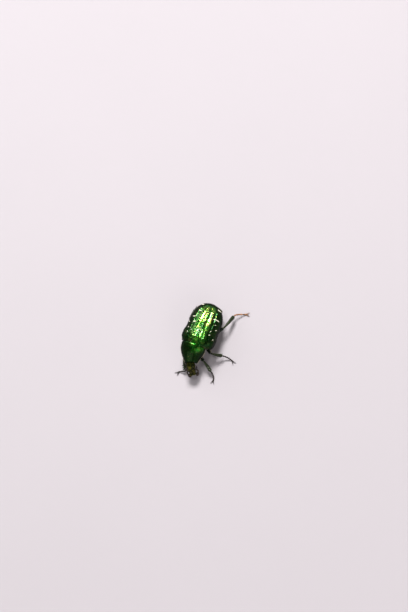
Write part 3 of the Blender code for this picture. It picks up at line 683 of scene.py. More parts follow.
def metal_shell(name, deep, bright, tint, gloss, pit_scale, coat, chalk=False, painted_shade=None, disc_coat=None):
    """Metallic chitin: colour clouds between deep and bright with a tint, fine pits and a clear outer layer.

    With a shade colour given, the surface is painted in that darker colour as painted shade, with bronze
    specks, where its attribute of painted light is low.
    """
    made = Finish(name)
    clouds = made.spread(made.noise(0.55, 4.0, 0.6), 0.35, 0.65)
    # More golden tint where the painted light attribute rises above 1: a painted golden sheen.
    gild = made.spread(made.attribute("painted_light"), 1.0, 1.0 + PAINTED_GOLD_SHEEN, 0.3, 0.9) if disc_coat else 0.5
    golden = made.spread(made.noise(1.3, 5.0, 0.6, 0.8), 0.48, 0.68)
    colour = made.tinted(made.mix(clouds, deep, bright), golden, gild, tint)
    # Painted shade: where the painted light attribute is low, the darker colour with specks; where it is
    # high, the lit colour.
    if painted_shade:
        uneven = made.spread(made.noise(1.6, 4.0, 0.65), 0.25, 0.75, -0.22, 0.22)
        ragged = made.maths("ADD", made.attribute("painted_light"), uneven)
        # Bronze specks in the painted shade: partly a coppery tone, partly painted glints.
        specks = made.spread(made.noise(3.4, 3.0, 0.7, 0.5), 0.6, 0.7)
        speckled = made.tinted(painted_shade, specks, 0.55, tuple(0.55 * a + 0.25 * b for a, b in zip(tint, BRONZE)))
        colour = made.mix(made.spread(ragged, 0.15, 0.85), speckled, colour)
        if disc_coat:
            coat = made.spread(ragged, 0.15, 0.85, coat, disc_coat)
    hole = made.spread(made.cells(pit_scale), 0.0, 0.32, 1.0, 0.0)
    grain = made.spread(made.noise(7.0, 3.0, 0.65), 0.3, 0.7)
    # Painted shade: the pits are painted darker.
    colour = made.tinted(colour, hole, 0.55, scaled(deep, 0.3))
    colour = made.tinted(colour, grain, 0.22, scaled(bright, 0.45))
    rough = made.spread(made.noise(3.1, 4.0, 0.6), 0.3, 0.7, gloss * 0.75, gloss * 1.35)
    rough = made.maths("ADD", rough, made.maths("MULTIPLY", hole, 0.22))
    lumps = made.bump(made.noise(4.5, 4.0, 0.6), 0.02, 0.5)
    normal = made.bump(made.maths("SUBTRACT", 1.0, hole), 0.014, 0.7, lumps)
    normal = made.bump(made.cells(24.0, "DISTANCE_TO_EDGE"), 0.003, 0.35, normal)
    metallic = METALLIC
    if chalk:
        crumbs = made.spread(made.noise(11.0, 3.0), 0.3, 0.7, 0.0, 0.34)
        mark = made.spread(made.maths("SUBTRACT", made.attribute("chalk"), crumbs), 0.18, 0.36)
        colour = made.mix(mark, colour, made.mix(made.noise(16.0), *CHALK))
        rough = made.maths("MAXIMUM", rough, made.maths("MULTIPLY", mark, 0.85))
        metallic = made.spread(mark, 0.0, 1.0, METALLIC, 0.0)
        normal = made.bump(made.maths("MULTIPLY", mark, made.noise(22.0)), 0.02, 0.8, normal)
    return made.done(Base_Color=colour, Roughness=rough, Metallic=metallic, Normal=normal, Coat_Weight=coat,
                     Coat_Roughness=0.09, Coat_IOR=1.5, Specular_Tint=EDGE_TINT)


def horn(name, dark, light, gloss, coat, metallic=0.0):
    """Plain chitin, such as legs and feelers have: dark to light patches, pores and fine lumps."""
    made = Finish(name)
    patches = made.spread(made.noise(2.4, 4.0, 0.6), 0.36, 0.66)
    pore = made.spread(made.cells(8.0), 0.0, 0.3, 1.0, 0.0)
    # Painted shade: the pores are painted darker.
    colour = made.tinted(made.mix(patches, dark, light), pore, 0.6, scaled(dark, 0.3))
    rough = made.spread(made.noise(5.0), 0.3, 0.7, gloss * 0.8, gloss * 1.4)
    rough = made.maths("ADD", rough, made.maths("MULTIPLY", pore, 0.2))
    lumps = made.bump(made.noise(9.0, 4.0, 0.65), 0.012, 0.6)
    normal = made.bump(made.maths("SUBTRACT", 1.0, pore), 0.012, 0.6, lumps)
    return made.done(Base_Color=colour, Roughness=rough, Metallic=metallic, Normal=normal, Coat_Weight=coat,
                     Coat_Roughness=0.12, Specular_IOR_Level=0.3)


def eye_finish():
    made = Finish("eye_lens")
    colour = made.mix(made.spread(made.noise(2.2), 0.35, 0.65), (0.004, 0.003, 0.004), (0.02, 0.009, 0.006))
    colour = made.mix(made.spread(made.noise(12.0), 0.4, 0.7), colour, (0.001, 0.001, 0.002))
    rough = made.spread(made.noise(9.0), 0.3, 0.7, 0.07, 0.16)
    normal = made.bump(made.cells(11.0), 0.004, 0.4)
    return made.done(Base_Color=colour, Roughness=rough, Normal=normal, Coat_Weight=0.12, Coat_Roughness=0.05,
                     Specular_IOR_Level=0.2)


def hair_finish(name, root, tip):
    made = Finish(name)
    colour = made.mix(made.attribute("reach"), root, tip)
    colour = made.tinted(colour, made.noise(2.0), 0.5, scaled(tip, 0.7))
    return made.done(Base_Color=colour, Roughness=made.spread(made.noise(6.0), 0.3, 0.7, 0.35, 0.6))


def floor_finish():
    """Pale and faintly rosy, a little deeper far from the model, where the sweep rises."""
    made = Finish("pale_floor")
    away = made.node("VectorMath", {0: made.place}, operation="LENGTH").outputs["Value"]
    far = made.spread(away, SWEEP_FLAT / MM * 0.5, SWEEP_WALL / MM)
    pale = made.mix(made.noise(0.02), FLOOR_COLOUR, scaled(FLOOR_COLOUR, 1.04))
    return made.done(Base_Color=made.mix(far, pale, scaled(FLOOR_COLOUR, 0.8)), Roughness=0.75)


# The shade colours below are painted shade on the sides of the wing cases and the pronotum.
SHELL = metal_shell(
    "elytra_shell", (0.002, 0.038, 0.003), (0.024, 0.21, 0.008), (0.46, 0.42, 0.08),
    gloss=0.15, pit_scale=3.6, coat=0.14, chalk=True, painted_shade=(0.002, 0.015, 0.003), disc_coat=0.65)
PRONOTUM = metal_shell(
    "pronotum_shell", (0.004, 0.055, 0.004), (0.02, 0.27, 0.014), (0.18, 0.24, 0.03),
    gloss=0.22, pit_scale=4.4, coat=0.12, painted_shade=(0.003, 0.007, 0.002))
HEAD_SHELL = metal_shell(
    "head_shell", (0.001, 0.003, 0.001), (0.005, 0.011, 0.002), (0.3, 0.27, 0.03),
    gloss=0.17, pit_scale=7.0, coat=0.08)
PYGIDIUM_SHELL = metal_shell(
    "pygidium_shell", (0.008, 0.03, 0.006), (0.025, 0.07, 0.012), (0.15, 0.09, 0.025),
    gloss=0.4, pit_scale=5.0, coat=0.1, chalk=True)
BELLY = metal_shell(
    "belly_shell", (0.022, 0.042, 0.012), (0.05, 0.075, 0.02), (0.13, 0.075, 0.026),
    gloss=0.28, pit_scale=4.2, coat=0.2)
LEG = horn("leg_chitin", (0.004, 0.008, 0.004), (0.01, 0.028, 0.009), gloss=0.26, coat=0.12, metallic=0.55)
SHIN = horn("shin_chitin", (0.006, 0.01, 0.004), (0.026, 0.038, 0.011), gloss=0.28, coat=0.12, metallic=0.45)
FOOT = horn("foot_chitin", (0.006, 0.005, 0.004), (0.022, 0.014, 0.008), gloss=0.3, coat=0.12)
# The hind feet are painted orange-brown: a painted glow of light shining through them.
BACKLIT_HIND_FOOT = horn("hind_foot_chitin", (0.05, 0.022, 0.008), (0.3, 0.12, 0.03), gloss=0.32, coat=0.3)
FEELER_FINISH = horn("feeler_chitin", (0.008, 0.005, 0.004), (0.03, 0.014, 0.007), gloss=0.3, coat=0.1)
MOUTH = horn("mouth_chitin", (0.015, 0.008, 0.005), (0.07, 0.035, 0.015), gloss=0.36, coat=0.1)


def rounding(y, rear, exponent):
    share = np.clip((y - ELYTRA_ROUND_FROM) / (rear - ELYTRA_ROUND_FROM), 0, 1)
    return np.sqrt(np.clip(1 - share**exponent, 0, 1))


def trunk_section(y, inset=0.0):
    """Half width, side margin height and back height of trunk and wing cases, drawn in by inset."""
    rear = ELYTRA_REAR - inset
    half, margin, back = smooth(ELYTRA_STATIONS, y)
    half = half * rounding(y, rear, 3.3) - inset
    back = margin + (back - margin) * rounding(y, rear, 2.3) - inset
    return np.maximum(half, 0.02), margin, np.maximum(back, margin + 0.02)


def trunk_point(y, turn, inset=0.0):
    """Points on the trunk's outer form at angle turn from the middle of the back."""
    half, margin, back = trunk_section(y, inset)
    rise = np.where(np.cos(turn) >= 0, back - margin, ELYTRA_TUCK)
    share = 2 / ELYTRA_FLATNESS
    return xyz(half * power(np.sin(turn), share), y, margin + rise * power(np.cos(turn), share))


def trunk_ring(y, sides, step=0.0):
    """A closed ring round the trunk under its wing cases at place y."""
    drawn_in = ELYTRA_SHELL + SHELL_GAP
    half, margin, _ = trunk_section(y, drawn_in)
    outer_half, _, _ = trunk_section(y)
    belly, flank_inset = smooth(BELLY_STATIONS, y)
    belly = belly - step
    flank = max(outer_half - flank_inset, half) + step
    upper = trunk_point(y, np.linspace(-math.pi / 2, math.pi / 2, sides // 3 + 1), drawn_in)
    ledge = margin - LEDGE_DEPTH
    turns = np.linspace(math.pi / 2, -math.pi / 2, 2 * sides // 3 + 1)
    share = 2 / BELLY_FULLNESS
    lower = xyz(flank * power(np.sin(turns), share), y, ledge - (ledge - belly) * power(np.cos(turns), share))
    return np.concatenate([upper, lower])


def scutellum_half(y):
    share = np.clip((SCUTELLUM_REAR - y) / (SCUTELLUM_REAR - SCUTELLUM_FRONT), 0, 1)
    return SCUTELLUM_HALF * share**0.8


def femur_radius(pair, share):
    root, middle, end = FEMUR_SIZES[pair]
    return np.interp(share, [0, 0.16, 0.5, 0.8, 1], [root, root * 0.98, middle, end * 1.12, end]) / 2


def pair_of(name):
    return name.split("_")[0]


def side_of(sign):
    return "left" if sign > 0 else "right"


def pressed(points, normal):
    """Points of the body drawn in where a thigh lies against them."""
    for name, (hip, knee, *_) in LEGS.items():
        reach = knee - hip
        share = np.clip(((points - hip) @ reach) / (reach @ reach), 0, 1)
        distance = np.linalg.norm(points - (hip + share[..., None] * reach), axis=-1)
        deep = np.clip(femur_radius(pair_of(name), share) * 0.92 + FEMUR_CLEARANCE - distance, 0, 0.8)
        points = raised(points, normal, -deep * ramp(share, 0.12, 0.3))
    return points


def elytron_rows():
    """Places along the wing case whose rows lie about equally far apart on its surface."""
    share = np.sin(np.linspace(0, 1, 4000) * math.pi / 2)
    fine = ELYTRA_FRONT + (ELYTRA_REAR - 0.004 - ELYTRA_FRONT) * share
    track = trunk_point(fine[:, None], np.radians([5.0, 35.0, 60.0, 90.0]))
    step = np.linalg.norm(np.diff(track, axis=0), axis=2).max(axis=1)
    run = np.concatenate([[0], np.cumsum(step)])
    return np.interp(np.linspace(0, run[-1], ELYTRA_ROWS), run, fine)


def chalk_on(side, x, y, points):
    """How chalky the surface is at x, y."""
    ragged = value_noise(points, 0.16, 5) * 0.35 + value_noise(points, 0.07, 6) * 0.2
    most = np.full(x.shape, -1.0)
    for mark_side, mark_x, mark_y, length, width, slant, bow in CHALK_MARKS:
        if mark_side != side:
            continue
        turn = math.radians(slant)
        u = ((x - mark_x) * math.cos(turn) + (y - mark_y) * math.sin(turn)) / length
        v = ((y - mark_y) * math.cos(turn) - (x - mark_x) * math.sin(turn) - bow * u**2) / width
        most = np.maximum(most, 1 - u**4 - v**2)
    return ramp(most + ragged, -0.1, 0.5)


def make_elytron(side):
    y = elytron_rows()[:, None]
    across = np.linspace(0, 1, ELYTRA_COLUMNS)
    along = (y - ELYTRA_FRONT) / (ELYTRA_REAR - ELYTRA_FRONT)
    y = y - SHOULDER_ADVANCE * across**2 * (1 - along) ** 6
    half, _, _ = trunk_section(y)
    inner_edge = np.maximum(SUTURE_HALF, scutellum_half(y) + SCUTELLUM_GAP * (y < SCUTELLUM_REAR))
    first = np.arcsin(np.clip((inner_edge / half) ** (ELYTRA_FLATNESS / 2), 0, 1))[:, :1]
    plain = trunk_point(y, first + (ELYTRA_LAST_TURN - first) * across)
    normal = grid_normals(plain)
    x = plain[..., 0]
    share = x / half
    step = np.linalg.norm(np.diff(plain, axis=1), axis=2)
    from_suture = np.concatenate([np.zeros((len(x), 1)), np.cumsum(step, axis=1)], axis=1)
    from_margin = from_suture[:, -1:] - from_suture
    relief = hump(x, y, *HUMERUS) + hump(x, y, *APEX_HUMP)
    for costa in COSTA_PLACES:
        relief += COSTA_HEIGHT * bell(share, costa, COSTA_WIDTH) * plateau(y, *COSTA_RUN)
    # The raised seam, the hollows and the raised side margin.
    relief += 0.055 * bell(from_suture, 0.14, 0.1) * ramp(y, -0.4, 1.2)
    for depth, place, width, run in ELYTRA_HOLLOWS:
        relief -= depth * bell(share, place, width) * plateau(y, *run)
    relief += 0.05 * bell(from_margin, 0.13, 0.08)
    for height, size, seed in ((0.014, 0.9, 2), (0.014, 0.36, 3), (0.004, 0.15, 4)):
        relief += height * value_noise(plain, size, seed)
    # Punctures, deeper to the sides and the rear, wrinkles near the margin, and fine pits.
    rough_part = np.clip(0.55 + 0.45 * ramp(share, 0.25, 0.8) + 0.4 * ramp(y, 4.0, 7.0), 0, 1)
    relief -= 0.028 * horseshoes(from_suture, y, 0.3, 0.085, 3, 0.72) * rough_part
    relief += 0.016 * value_noise(plain * [1, 3.2, 1], 0.5, 8) * ramp(share, 0.55, 0.9)
    relief -= 0.012 * pits(plain, 0.24, 0.05, 21, 0.6)
    for from_edge in (from_suture, from_margin, y - y[:1]):
        relief -= 0.09 * rim(from_edge, 0.1)
    chalk = chalk_on(side, x, y, plain)
    outer = raised(plain, normal, relief + 0.008 * chalk)
    inner = plain - normal * ELYTRA_SHELL
    inner[:, 0, 0] = outer[:, 0, 0] = plain[:, 0, 0]
    form = shell_form(outer * [side, 1, 1], inner * [side, 1, 1])
    # The painted light: the lit colour on the disc and a little on the outer rib, painted shade to the sides
    # and at the rear tip, and a painted golden sheen round its place.
    painted_light = 1 - ramp(share, 0.36, 0.6) * (1 - 0.12 * bell(share, COSTA_PLACES[1], 0.06))
    painted_light *= ramp(-y, -7.6, -6.6) * (1 + PAINTED_GOLD_SHEEN * bell(y, PAINTED_GOLD_SHEEN_PLACE, 2.1))
    marks = {"chalk": [chalk, 0 * chalk], "painted_light": [painted_light, painted_light]}
    name = side_of(side)
    piece(f"wing_case_{name}", form, SHELL, [f"elytron_{name}"], marks)


def make_scutellum():
    rows, columns = 90, 60
    y = np.linspace(SCUTELLUM_FRONT, SCUTELLUM_REAR - 0.02, rows)[:, None]
    share = np.linspace(-1, 1, columns)
    half = scutellum_half(y)
    _, _, back = trunk_section(y)
    edge = np.clip((1 - np.abs(share)) * half / 0.12, 0, 1)
    top = xyz(half * share, y, back - 0.03 + 0.09 * (1 - share**2) - 0.1 * (1 - edge) ** 2)
    crowd = 0.25 + ramp(-y, 1.9, 2.6)
    top[..., 2] += 0.006 * value_noise(top, 0.4, 9) - 0.02 * pits(top, 0.26, 0.07, 31, 0.7) * crowd
    form = shell_form(top, xyz(half * share, y, back - SCUTELLUM_DEPTH))
    # Painted as lit nearly all over, with little of the painted shade.
    marks = {"painted_light": np.full((2, rows, columns), 0.9)}
    piece("scutellum_plate", form, PRONOTUM, ["scutellum"], marks)


def make_thorax():
    """The middle and hind thorax, and the knob between the middle legs."""
    front = np.linspace(BREAST_FRONT, BREAST_ROUND_FROM, 16)[:-1]
    rings = []
    for y in [*front, *np.linspace(BREAST_ROUND_FROM, THORAX_REAR, 96)]:
        share = 1 - 0.22 * (max(BREAST_ROUND_FROM - y, 0) / (BREAST_ROUND_FROM - BREAST_FRONT)) ** 2
        for start, run in ((-1.2, 1.0), (-2.2, 0.5)):
            share -= 0.05 * min(max((start - y) / run, 0), 1)
        rings.append(shrunk(trunk_ring(y, 260), share))
    rings = np.array(rings)
    normal = grid_normals(rings, True)
    x = rings[..., 0]
    y = rings[..., 1]
    side = np.abs(x) / TRUNK_HALF
    below = ramp(-normal[..., 2], -0.3, 0.2)
    relief = -0.03 * pits(rings, 0.3, 0.1, 41, 0.8) * (0.25 + 0.75 * ramp(side, 0.25, 0.7))
    relief += 0.012 * value_noise(rings, 0.6, 12)
    relief += 0.012 * value_noise(rings * [1, 2.6, 1], 0.4, 13) * ramp(side, 0.5, 0.9)
    # The groove along the middle of the belly side, and the seams across it.
    relief -= 0.09 * bell(x, 0, 0.07) * ramp(y, -1.3, -0.8) * below
    relief -= 0.08 * bell(y, THORAX_REAR - 1.3 + 0.25 * side, 0.06) * below
    relief -= 0.06 * bell(y + 0.35 * side, -1.15, 0.06) * below * ramp(side, 0.25, 0.4)
    rings = pressed(raised(rings, normal, relief), normal)

    def knob_relief(ball):
        return 1 + 0.012 * value_noise(ball * 2, 0.6, 3) - 0.03 * pits(ball, 0.3, 0.07, 17, 0.25)

    knob = ellipsoid_form(KNOB_PLACE, KNOB_RADII, 40, 48, relief=knob_relief)
    piece("breast", joined([closed_form(rings), knob]), BELLY, ["thorax"])


def round_ring(ring, turns):
    """The ring's points at these turns round its middle, as seen along the body."""
    away = ring - ring.mean(axis=0)
    turn = np.arctan2(away[:, 0], away[:, 2])
    order = np.argsort(turn)
    return xyz(*(np.interp(turns, turn[order], values, period=2 * math.pi) for values in ring[order].T))


def make_shoulders():
    """The front of the middle thorax: a low collar behind the pronotum with a plate at each corner."""
    sides = 360
    turns = np.linspace(-math.pi, math.pi, sides, endpoint=False)
    front = round_ring(prothorax_ring(0.0, 2 * sides, PROTHORAX_REACH_BACK), turns)
    front = shrunk(front, COLLAR_SHARE) + [0, 0.05, 0]
    rear = round_ring(trunk_ring(COLLAR_REAR, 2 * sides), turns)
    shares = np.linspace(0, 1, 40)[:, None]
    rings = front + (rear - front) * shares[..., None]
    corner = bell(np.abs(turns), CORNER_TURN, 0.42) * np.sin(math.pi * np.clip(shares * 1.25, 0, 1))
    relief = CORNER_BULGE * corner - 0.03 * pits(rings, 0.3, 0.09, 19, 0.9)
    relief += 0.012 * value_noise(rings, 0.6, 4)
    relief -= 0.3 * ramp(shares, 0.6, 1.0)
    # It carries no painted light attribute, so it is painted in the shade colour all over: painted shade.
    piece("shoulder_corners", relief_form(rings, relief), PRONOTUM)


def make_abdomen():
    """The belly plates, each over the next."""
    edges = np.array((THORAX_REAR - 0.1, *STERNITE_ENDS, ABDOMEN_REAR - 0.1))
    places = [edges[0]]
    for start, end in zip(edges[:-1], edges[1:]):
        places += [*np.linspace(start, end, 17)[1:-1], end - 0.015, end, end + 0.03]
    places = np.array(sorted(place for place in set(places) if place <= ABDOMEN_REAR))
    rings = []
    for y in places:
        k = int(np.clip(np.searchsorted(edges, y) - 1, 0, len(edges) - 2))
        share = (y - edges[k]) / (edges[k + 1] - edges[k])
        lift = STERNITE_STEP * (share**0.8 if k < len(edges) - 2 else 0.3)
        rounded = max(y - ABDOMEN_ROUND_FROM, 0) / (ABDOMEN_REAR - ABDOMEN_ROUND_FROM)
        rings.append(shrunk(trunk_ring(y, 240, lift), 1 - 0.5 * rounded**2))
    rings = np.array(rings)
    normal = grid_normals(rings, True)
    nearest = np.abs(places[:, None] - edges[1:-1]).min(axis=1)[:, None]
    side = np.abs(rings[..., 0]) / TRUNK_HALF
    relief = -0.024 * pits(rings * [1, 1.6, 1], 0.3, 0.09, 51, 0.8) * (0.3 + 0.7 * ramp(side, 0.3, 0.8))
    relief += 0.008 * value_noise(rings, 0.5, 14)
    relief -= 0.012 * np.abs(value_noise(rings * [1, 4, 1], 0.3, 15)) * ramp(nearest, 0.3, 0.1)
    form = closed_form(pressed(raised(rings, normal, relief), normal))
    piece("belly_plates", form, BELLY, ["abdomen"])


def make_pygidium():
    half, bulge, height = PYGIDIUM_HALF
    places = np.sin(np.linspace(0, 1, 66) * math.pi / 2) * 0.999
    places = np.concatenate([[-0.5, -0.35, -0.2, -0.05], places])[:, None]
    share = np.sqrt(np.maximum(1 - np.maximum(places, 0) ** 2.2, 0))
    depth = np.where(places > 0, places * bulge, places)
    turns = circle(220)
    local = xyz(half * share * np.sin(turns), depth, height * share * np.cos(turns))
    x = local[..., 0]
    z = local[..., 2]
    plain = PYGIDIUM_PLACE + local @ PYGIDIUM_AXES
    wrinkles = np.abs(value_noise(local * [1.2, 1, 4.0], 0.34, 61))
    wrinkles += 0.5 * np.abs(value_noise(local * [2, 1, 6], 0.3, 62))
    relief = 0.03 * wrinkles * ramp(share, 0.05, 0.3) + 0.02 * value_noise(local, 0.8, 63)
    relief += 0.05 * bell(np.abs(x), 1.0, 0.5) * bell(z, 0.2, 0.5)
    spots = np.zeros(x.shape)
    for side, middle, level, wide, tall in PYGIDIUM_SPOTS:
        spots = np.maximum(spots, 1 - ((x * side - middle) / wide) ** 2 - ((z - level) / tall) ** 2)
    chalk = ramp(spots + 0.4 * value_noise(local, 0.16, 64), 0.0, 0.6)
    marks = {"chalk": np.append(chalk, [0, 0])}
    piece("pygidium_plate", relief_form(plain, relief), PYGIDIUM_SHELL, ["pygidium"], marks)


def prothorax_ring(share, sides, back=0.0):
    """A ring round the prothorax, share 0 at its base and 1 at its front."""
    run = PROTHORAX_STATIONS[-1][0] * share
    half, top, edge, under = smooth(PROTHORAX_STATIONS, run)
    turns = circle(sides)
    upper = np.cos(turns) >= 0
    fullness = 2 / np.where(upper, PROTHORAX_TOP_FULLNESS, PROTHORAX_UNDER_FULLNESS)
    x = half * power(np.sin(turns), fullness)
    z = edge + np.where(upper, top - edge, edge - under) * power(np.cos(turns), fullness)
    side = x / half
    bow = PROTHORAX_BASE_BOW * side**2 + PROTHORAX_NOTCH * bell(x, 0, 0.95) * upper
    bay = PROTHORAX_FRONT_BAY * (1 - side**2)
    reach = back * (1 + PROTHORAX_RIGHT_REACH * np.clip(-side, 0, 1) ** 2)
    ahead = bow * (1 - share) ** 2 - bay * share**3 - reach * (1 - share) ** 4 * upper
    first, last = PROTHORAX_YAW
    turn = first + (last - first) * share
    middle_turn = first + (last - first) * share / 2
    base_x, base_y = PROTHORAX_BASE
    return xyz(
        base_x + run * math.sin(middle_turn) + x * math.cos(turn) + ahead * math.sin(turn),
        base_y - run * math.cos(middle_turn) + x * math.sin(turn) - ahead * math.cos(turn),
        z,
    )


def make_prothorax():
    rows, sides = 104, 320
    shares = np.linspace(0, 1, rows)
    rings = np.array([prothorax_ring(share, sides, PROTHORAX_REACH_BACK) for share in shares])
    share = shares[:, None]
    turns = circle(sides)
    normal = grid_normals(rings, True)
    over = ramp(np.cos(turns), -0.02, 0.05)
    aside = np.abs(np.sin(turns))
    edge_turn = np.abs((turns + math.pi) % (2 * math.pi) - math.pi) - math.pi / 2
    # The raised side margin and the groove along it.
    relief = 0.06 * bell(edge_turn, 0.02, 0.05) * ramp(share, 0.02, 0.12)
    relief -= 0.04 * bell(edge_turn, -0.1, 0.045) * ramp(share, 0.04, 0.14)
    # Punctures, fine in the middle of the back, deeper to the sides and below.
    relief -= 0.022 * pits(rings, 0.3, 0.085, 71, 0.72) * (0.22 + 0.78 * ramp(aside, 0.55, 0.92)) * over
    relief -= 0.035 * pits(rings, 0.26, 0.1, 73, 0.9) * (1 - over)
    relief += 0.012 * value_noise(rings, 1.1, 74)
    relief -= 0.1 * rim(share, 0.05) + 0.06 * rim(1 - share, 0.04)
    relief += 0.03 * bell(share, 0.955, 0.018) * over
    rings = pressed(raised(rings, normal, relief), normal)
    # The painted light: a painted reflection in a bright band along the base and a fainter patch before it;
    # elsewhere painted shade.
    from_middle = rings[..., 0] - (PROTHORAX_BASE[0] + 1.2 * share)
    painted_light = 1.25 * bell(share, 0.05, 0.24) * bell(from_middle, 1.2, 1.7) * over
    painted_light += 0.3 * bell(share, 0.3, 0.32) * bell(from_middle, 0.5, 1.3) * over
    caps = []
    for ring, depth in ((rings[0], 0.06), (rings[-1], 0.05)):
        inward = unit(rings[rows // 2].mean(axis=0) - ring.mean(axis=0)) * depth
        caps.append([shrunk(ring, size) + inward * steps for size, steps in PROTHORAX_CAP])
    rings = np.concatenate([caps[0][::-1], rings, caps[1]])
    more = len(PROTHORAX_CAP)
    painted_light = np.append(np.pad(painted_light, ((more, more), (0, 0)), "edge"), [0, 0])
    piece("pronotum", closed_form(rings), PRONOTUM, ["prothorax"], {"painted_light": painted_light})


def head_axes():
    """The head's own axes as rows: to its side, along it and up from it."""
    side = np.array([math.cos(HEAD_YAW), math.sin(HEAD_YAW), 0.0])
    level = np.array([math.sin(HEAD_YAW), -math.cos(HEAD_YAW), 0.0])
    upright = np.array([0, 0, 1.0])
    along = level * math.cos(HEAD_DIP) - upright * math.sin(HEAD_DIP)
    return np.array([side, along, level * math.sin(HEAD_DIP) + upright * math.cos(HEAD_DIP)])


HEAD_AXES = head_axes()
HEAD_UP = HEAD_AXES[2]


def head_point(side, along, up):
    return HEAD_ROOT + xyz(side, along, up) @ HEAD_AXES


def head_points(sign, points):
    """Points given in the head's own measures, on its left or its right."""
    return np.array([head_point(sign * side, along, up) for side, along, up in points])


def make_head():
    """The skull with its mid ridge, ledges before the eyes and the clypeus' raised, notched rim."""
    place = np.linspace(HEAD_STATIONS[0][0], HEAD_FRONT, 156)[:, None]
    turns = circle(220)
    half, rise, depth = smooth(HEAD_STATIONS, place)
    flat = power(np.sin(turns), 2 / HEAD_FULLNESS)
    side = half * flat
    up = np.where(np.cos(turns) >= 0, rise, depth) * power(np.cos(turns), 2 / HEAD_FULLNESS)
    front = np.clip((place - 2.2) / 0.8, 0, 1)
    along = place - front * (CLYPEUS_NOTCH * bell(side, 0, 0.3) + 0.2 * flat**4)
    plain = head_point(side, along, up)
    top = ramp(np.cos(turns), 0.0, 0.25)
    relief = 0.05 * bell(side, 0, 0.13) * plateau(place, 0.4, 0.9, 1.6, 2.2) * top
    # The clypeus: its raised sides and front rim, and the hollow behind the rim.
    relief += 0.075 * bell(np.abs(flat), 0.93, 0.07) * ramp(place, 1.7, 2.1) * top
    relief += 0.085 * bell(place, 2.93, 0.07) * top
    relief -= 0.05 * bell(place, 2.65, 0.22) * bell(flat, 0, 0.7) * top
    # The hollows beside the mid ridge, and a low fold before each eye.
    relief -= 0.045 * bell(np.abs(side), 0.52, 0.24) * bell(place, 1.55, 0.5) * top
    relief += 0.03 * bell(place, 1.3, 0.07) * bell(np.abs(flat), 0.8, 0.2) * top
    relief -= 0.03 * pits(plain, 0.19, 0.075, 81, 0.92) * top * ramp(-place, -2.9, -2.7)
    relief -= 0.012 * pits(plain, 0.3, 0.07, 83, 0.5) * (1 - top)
    relief += 0.008 * value_noise(plain, 0.3, 84)
    relief -= 0.05 * rim(HEAD_FRONT - place, 0.06)
    forms = [relief_form(plain, relief)]
    sizes = np.interp(np.linspace(0, 4, 14), range(5), (0.3, 0.34, 0.28, 0.2, 0.06))
    for sign in (-1, 1):
        forms.append(tube(smooth_path(head_points(sign, EYE_LEDGE), 14), sizes, sizes * 0.45, HEAD_UP, 14))
    piece("skull", joined(forms), HEAD_SHELL, ["head"])


def facet_relief(ball):
    """Domes on the facets of an eye, whose middles lie on a spiral over the ball."""
    k = np.arange(EYE_FACETS) + 0.5
    level = 1 - 2 * k / EYE_FACETS
    around = math.pi * (1 + 5**0.5) * k
    wide = np.sqrt(1 - level**2)
    middles = xyz(wide * np.cos(around), level, wide * np.sin(around))
    parts = np.array_split(ball.reshape(-1, 3), 8)
    nearest = np.concatenate([(part @ middles.T).max(axis=1) for part in parts])
    away = np.arccos(np.clip(nearest, -1, 1)) / math.sqrt(4 * math.pi / EYE_FACETS)
    return (1 + 0.003 * (1 - np.clip(away / 0.55, 0, 1) ** 2)).reshape(ball.shape[:-1])


def make_eyes():
    finish = eye_finish()
    for sign in (-1, 1):
        centre = head_points(sign, [EYE_PLACE])[0]
        form = ellipsoid_form(centre, EYE_RADII, 110, 150, HEAD_AXES, facet_relief)
        piece(f"eye_lens_{side_of(sign)}", form, finish, [f"eye_{side_of(sign)}"])


def make_feelers():
    """Each antenna: scape, pedicel, five stalk joints and a club of three leaves."""
    t = np.linspace(0, 1, 30)
    wide = 2 * CLUB_HALF * np.interp(t, [0, 0.14, 0.4, 0.75, 1], [0.28, 0.72, 0.98, 0.86, 0.5])
    wide = wide * np.maximum(domed(t, 0.06, 0.2), 0.15)
    thick = 0.2 * np.maximum(domed(t, 0.08, 0.12), 0.25)
    for sign in (-1, 1):
        root, scape, stalk, tip = head_points(sign, FEELER)
        run = stalk - scape
        forms = [
            segment_form(root, scape + (scape - root) * 0.1, (0.14, 0.22, 0.2), HEAD_UP, 22, 20),
            segment_form(scape, scape + run * 0.34, (0.13, 0.2, 0.17), HEAD_UP, 18),
        ]
        for k in range(5):
            start = 0.26 + 0.16 * k
            ends = (scape + run * start, scape + run * (start + 0.19))
            radii = (0.11 + 0.008 * k, 0.16 + 0.012 * k, 0.15 + 0.015 * k)
            forms.append(segment_form(*ends, radii, HEAD_UP, 16, 9))
        along = unit(tip - stalk)
        level = unit(np.cross(along, HEAD_UP))
        rise = np.cross(level, along)
        for k, offset in enumerate((-0.2, 0.0, 0.2)):
            base = stalk + rise * offset * 0.5 - along * 0.04
            path = [
                base,
                base + along * 0.28 + level * 0.05 * sign + rise * offset * 0.3,
                base + along * 0.62 + level * 0.08 * sign + rise * offset * 0.5,
                tip - along * (0.08 + 0.05 * k) + rise * offset * 0.75,
            ]
            forms.append(tube(smooth_path(path, 30), wide, thick, rise, 30, 2.3))
        name = side_of(sign)
        piece(f"feeler_{name}", joined(forms), FEELER_FINISH, [f"antenna_{name}"])


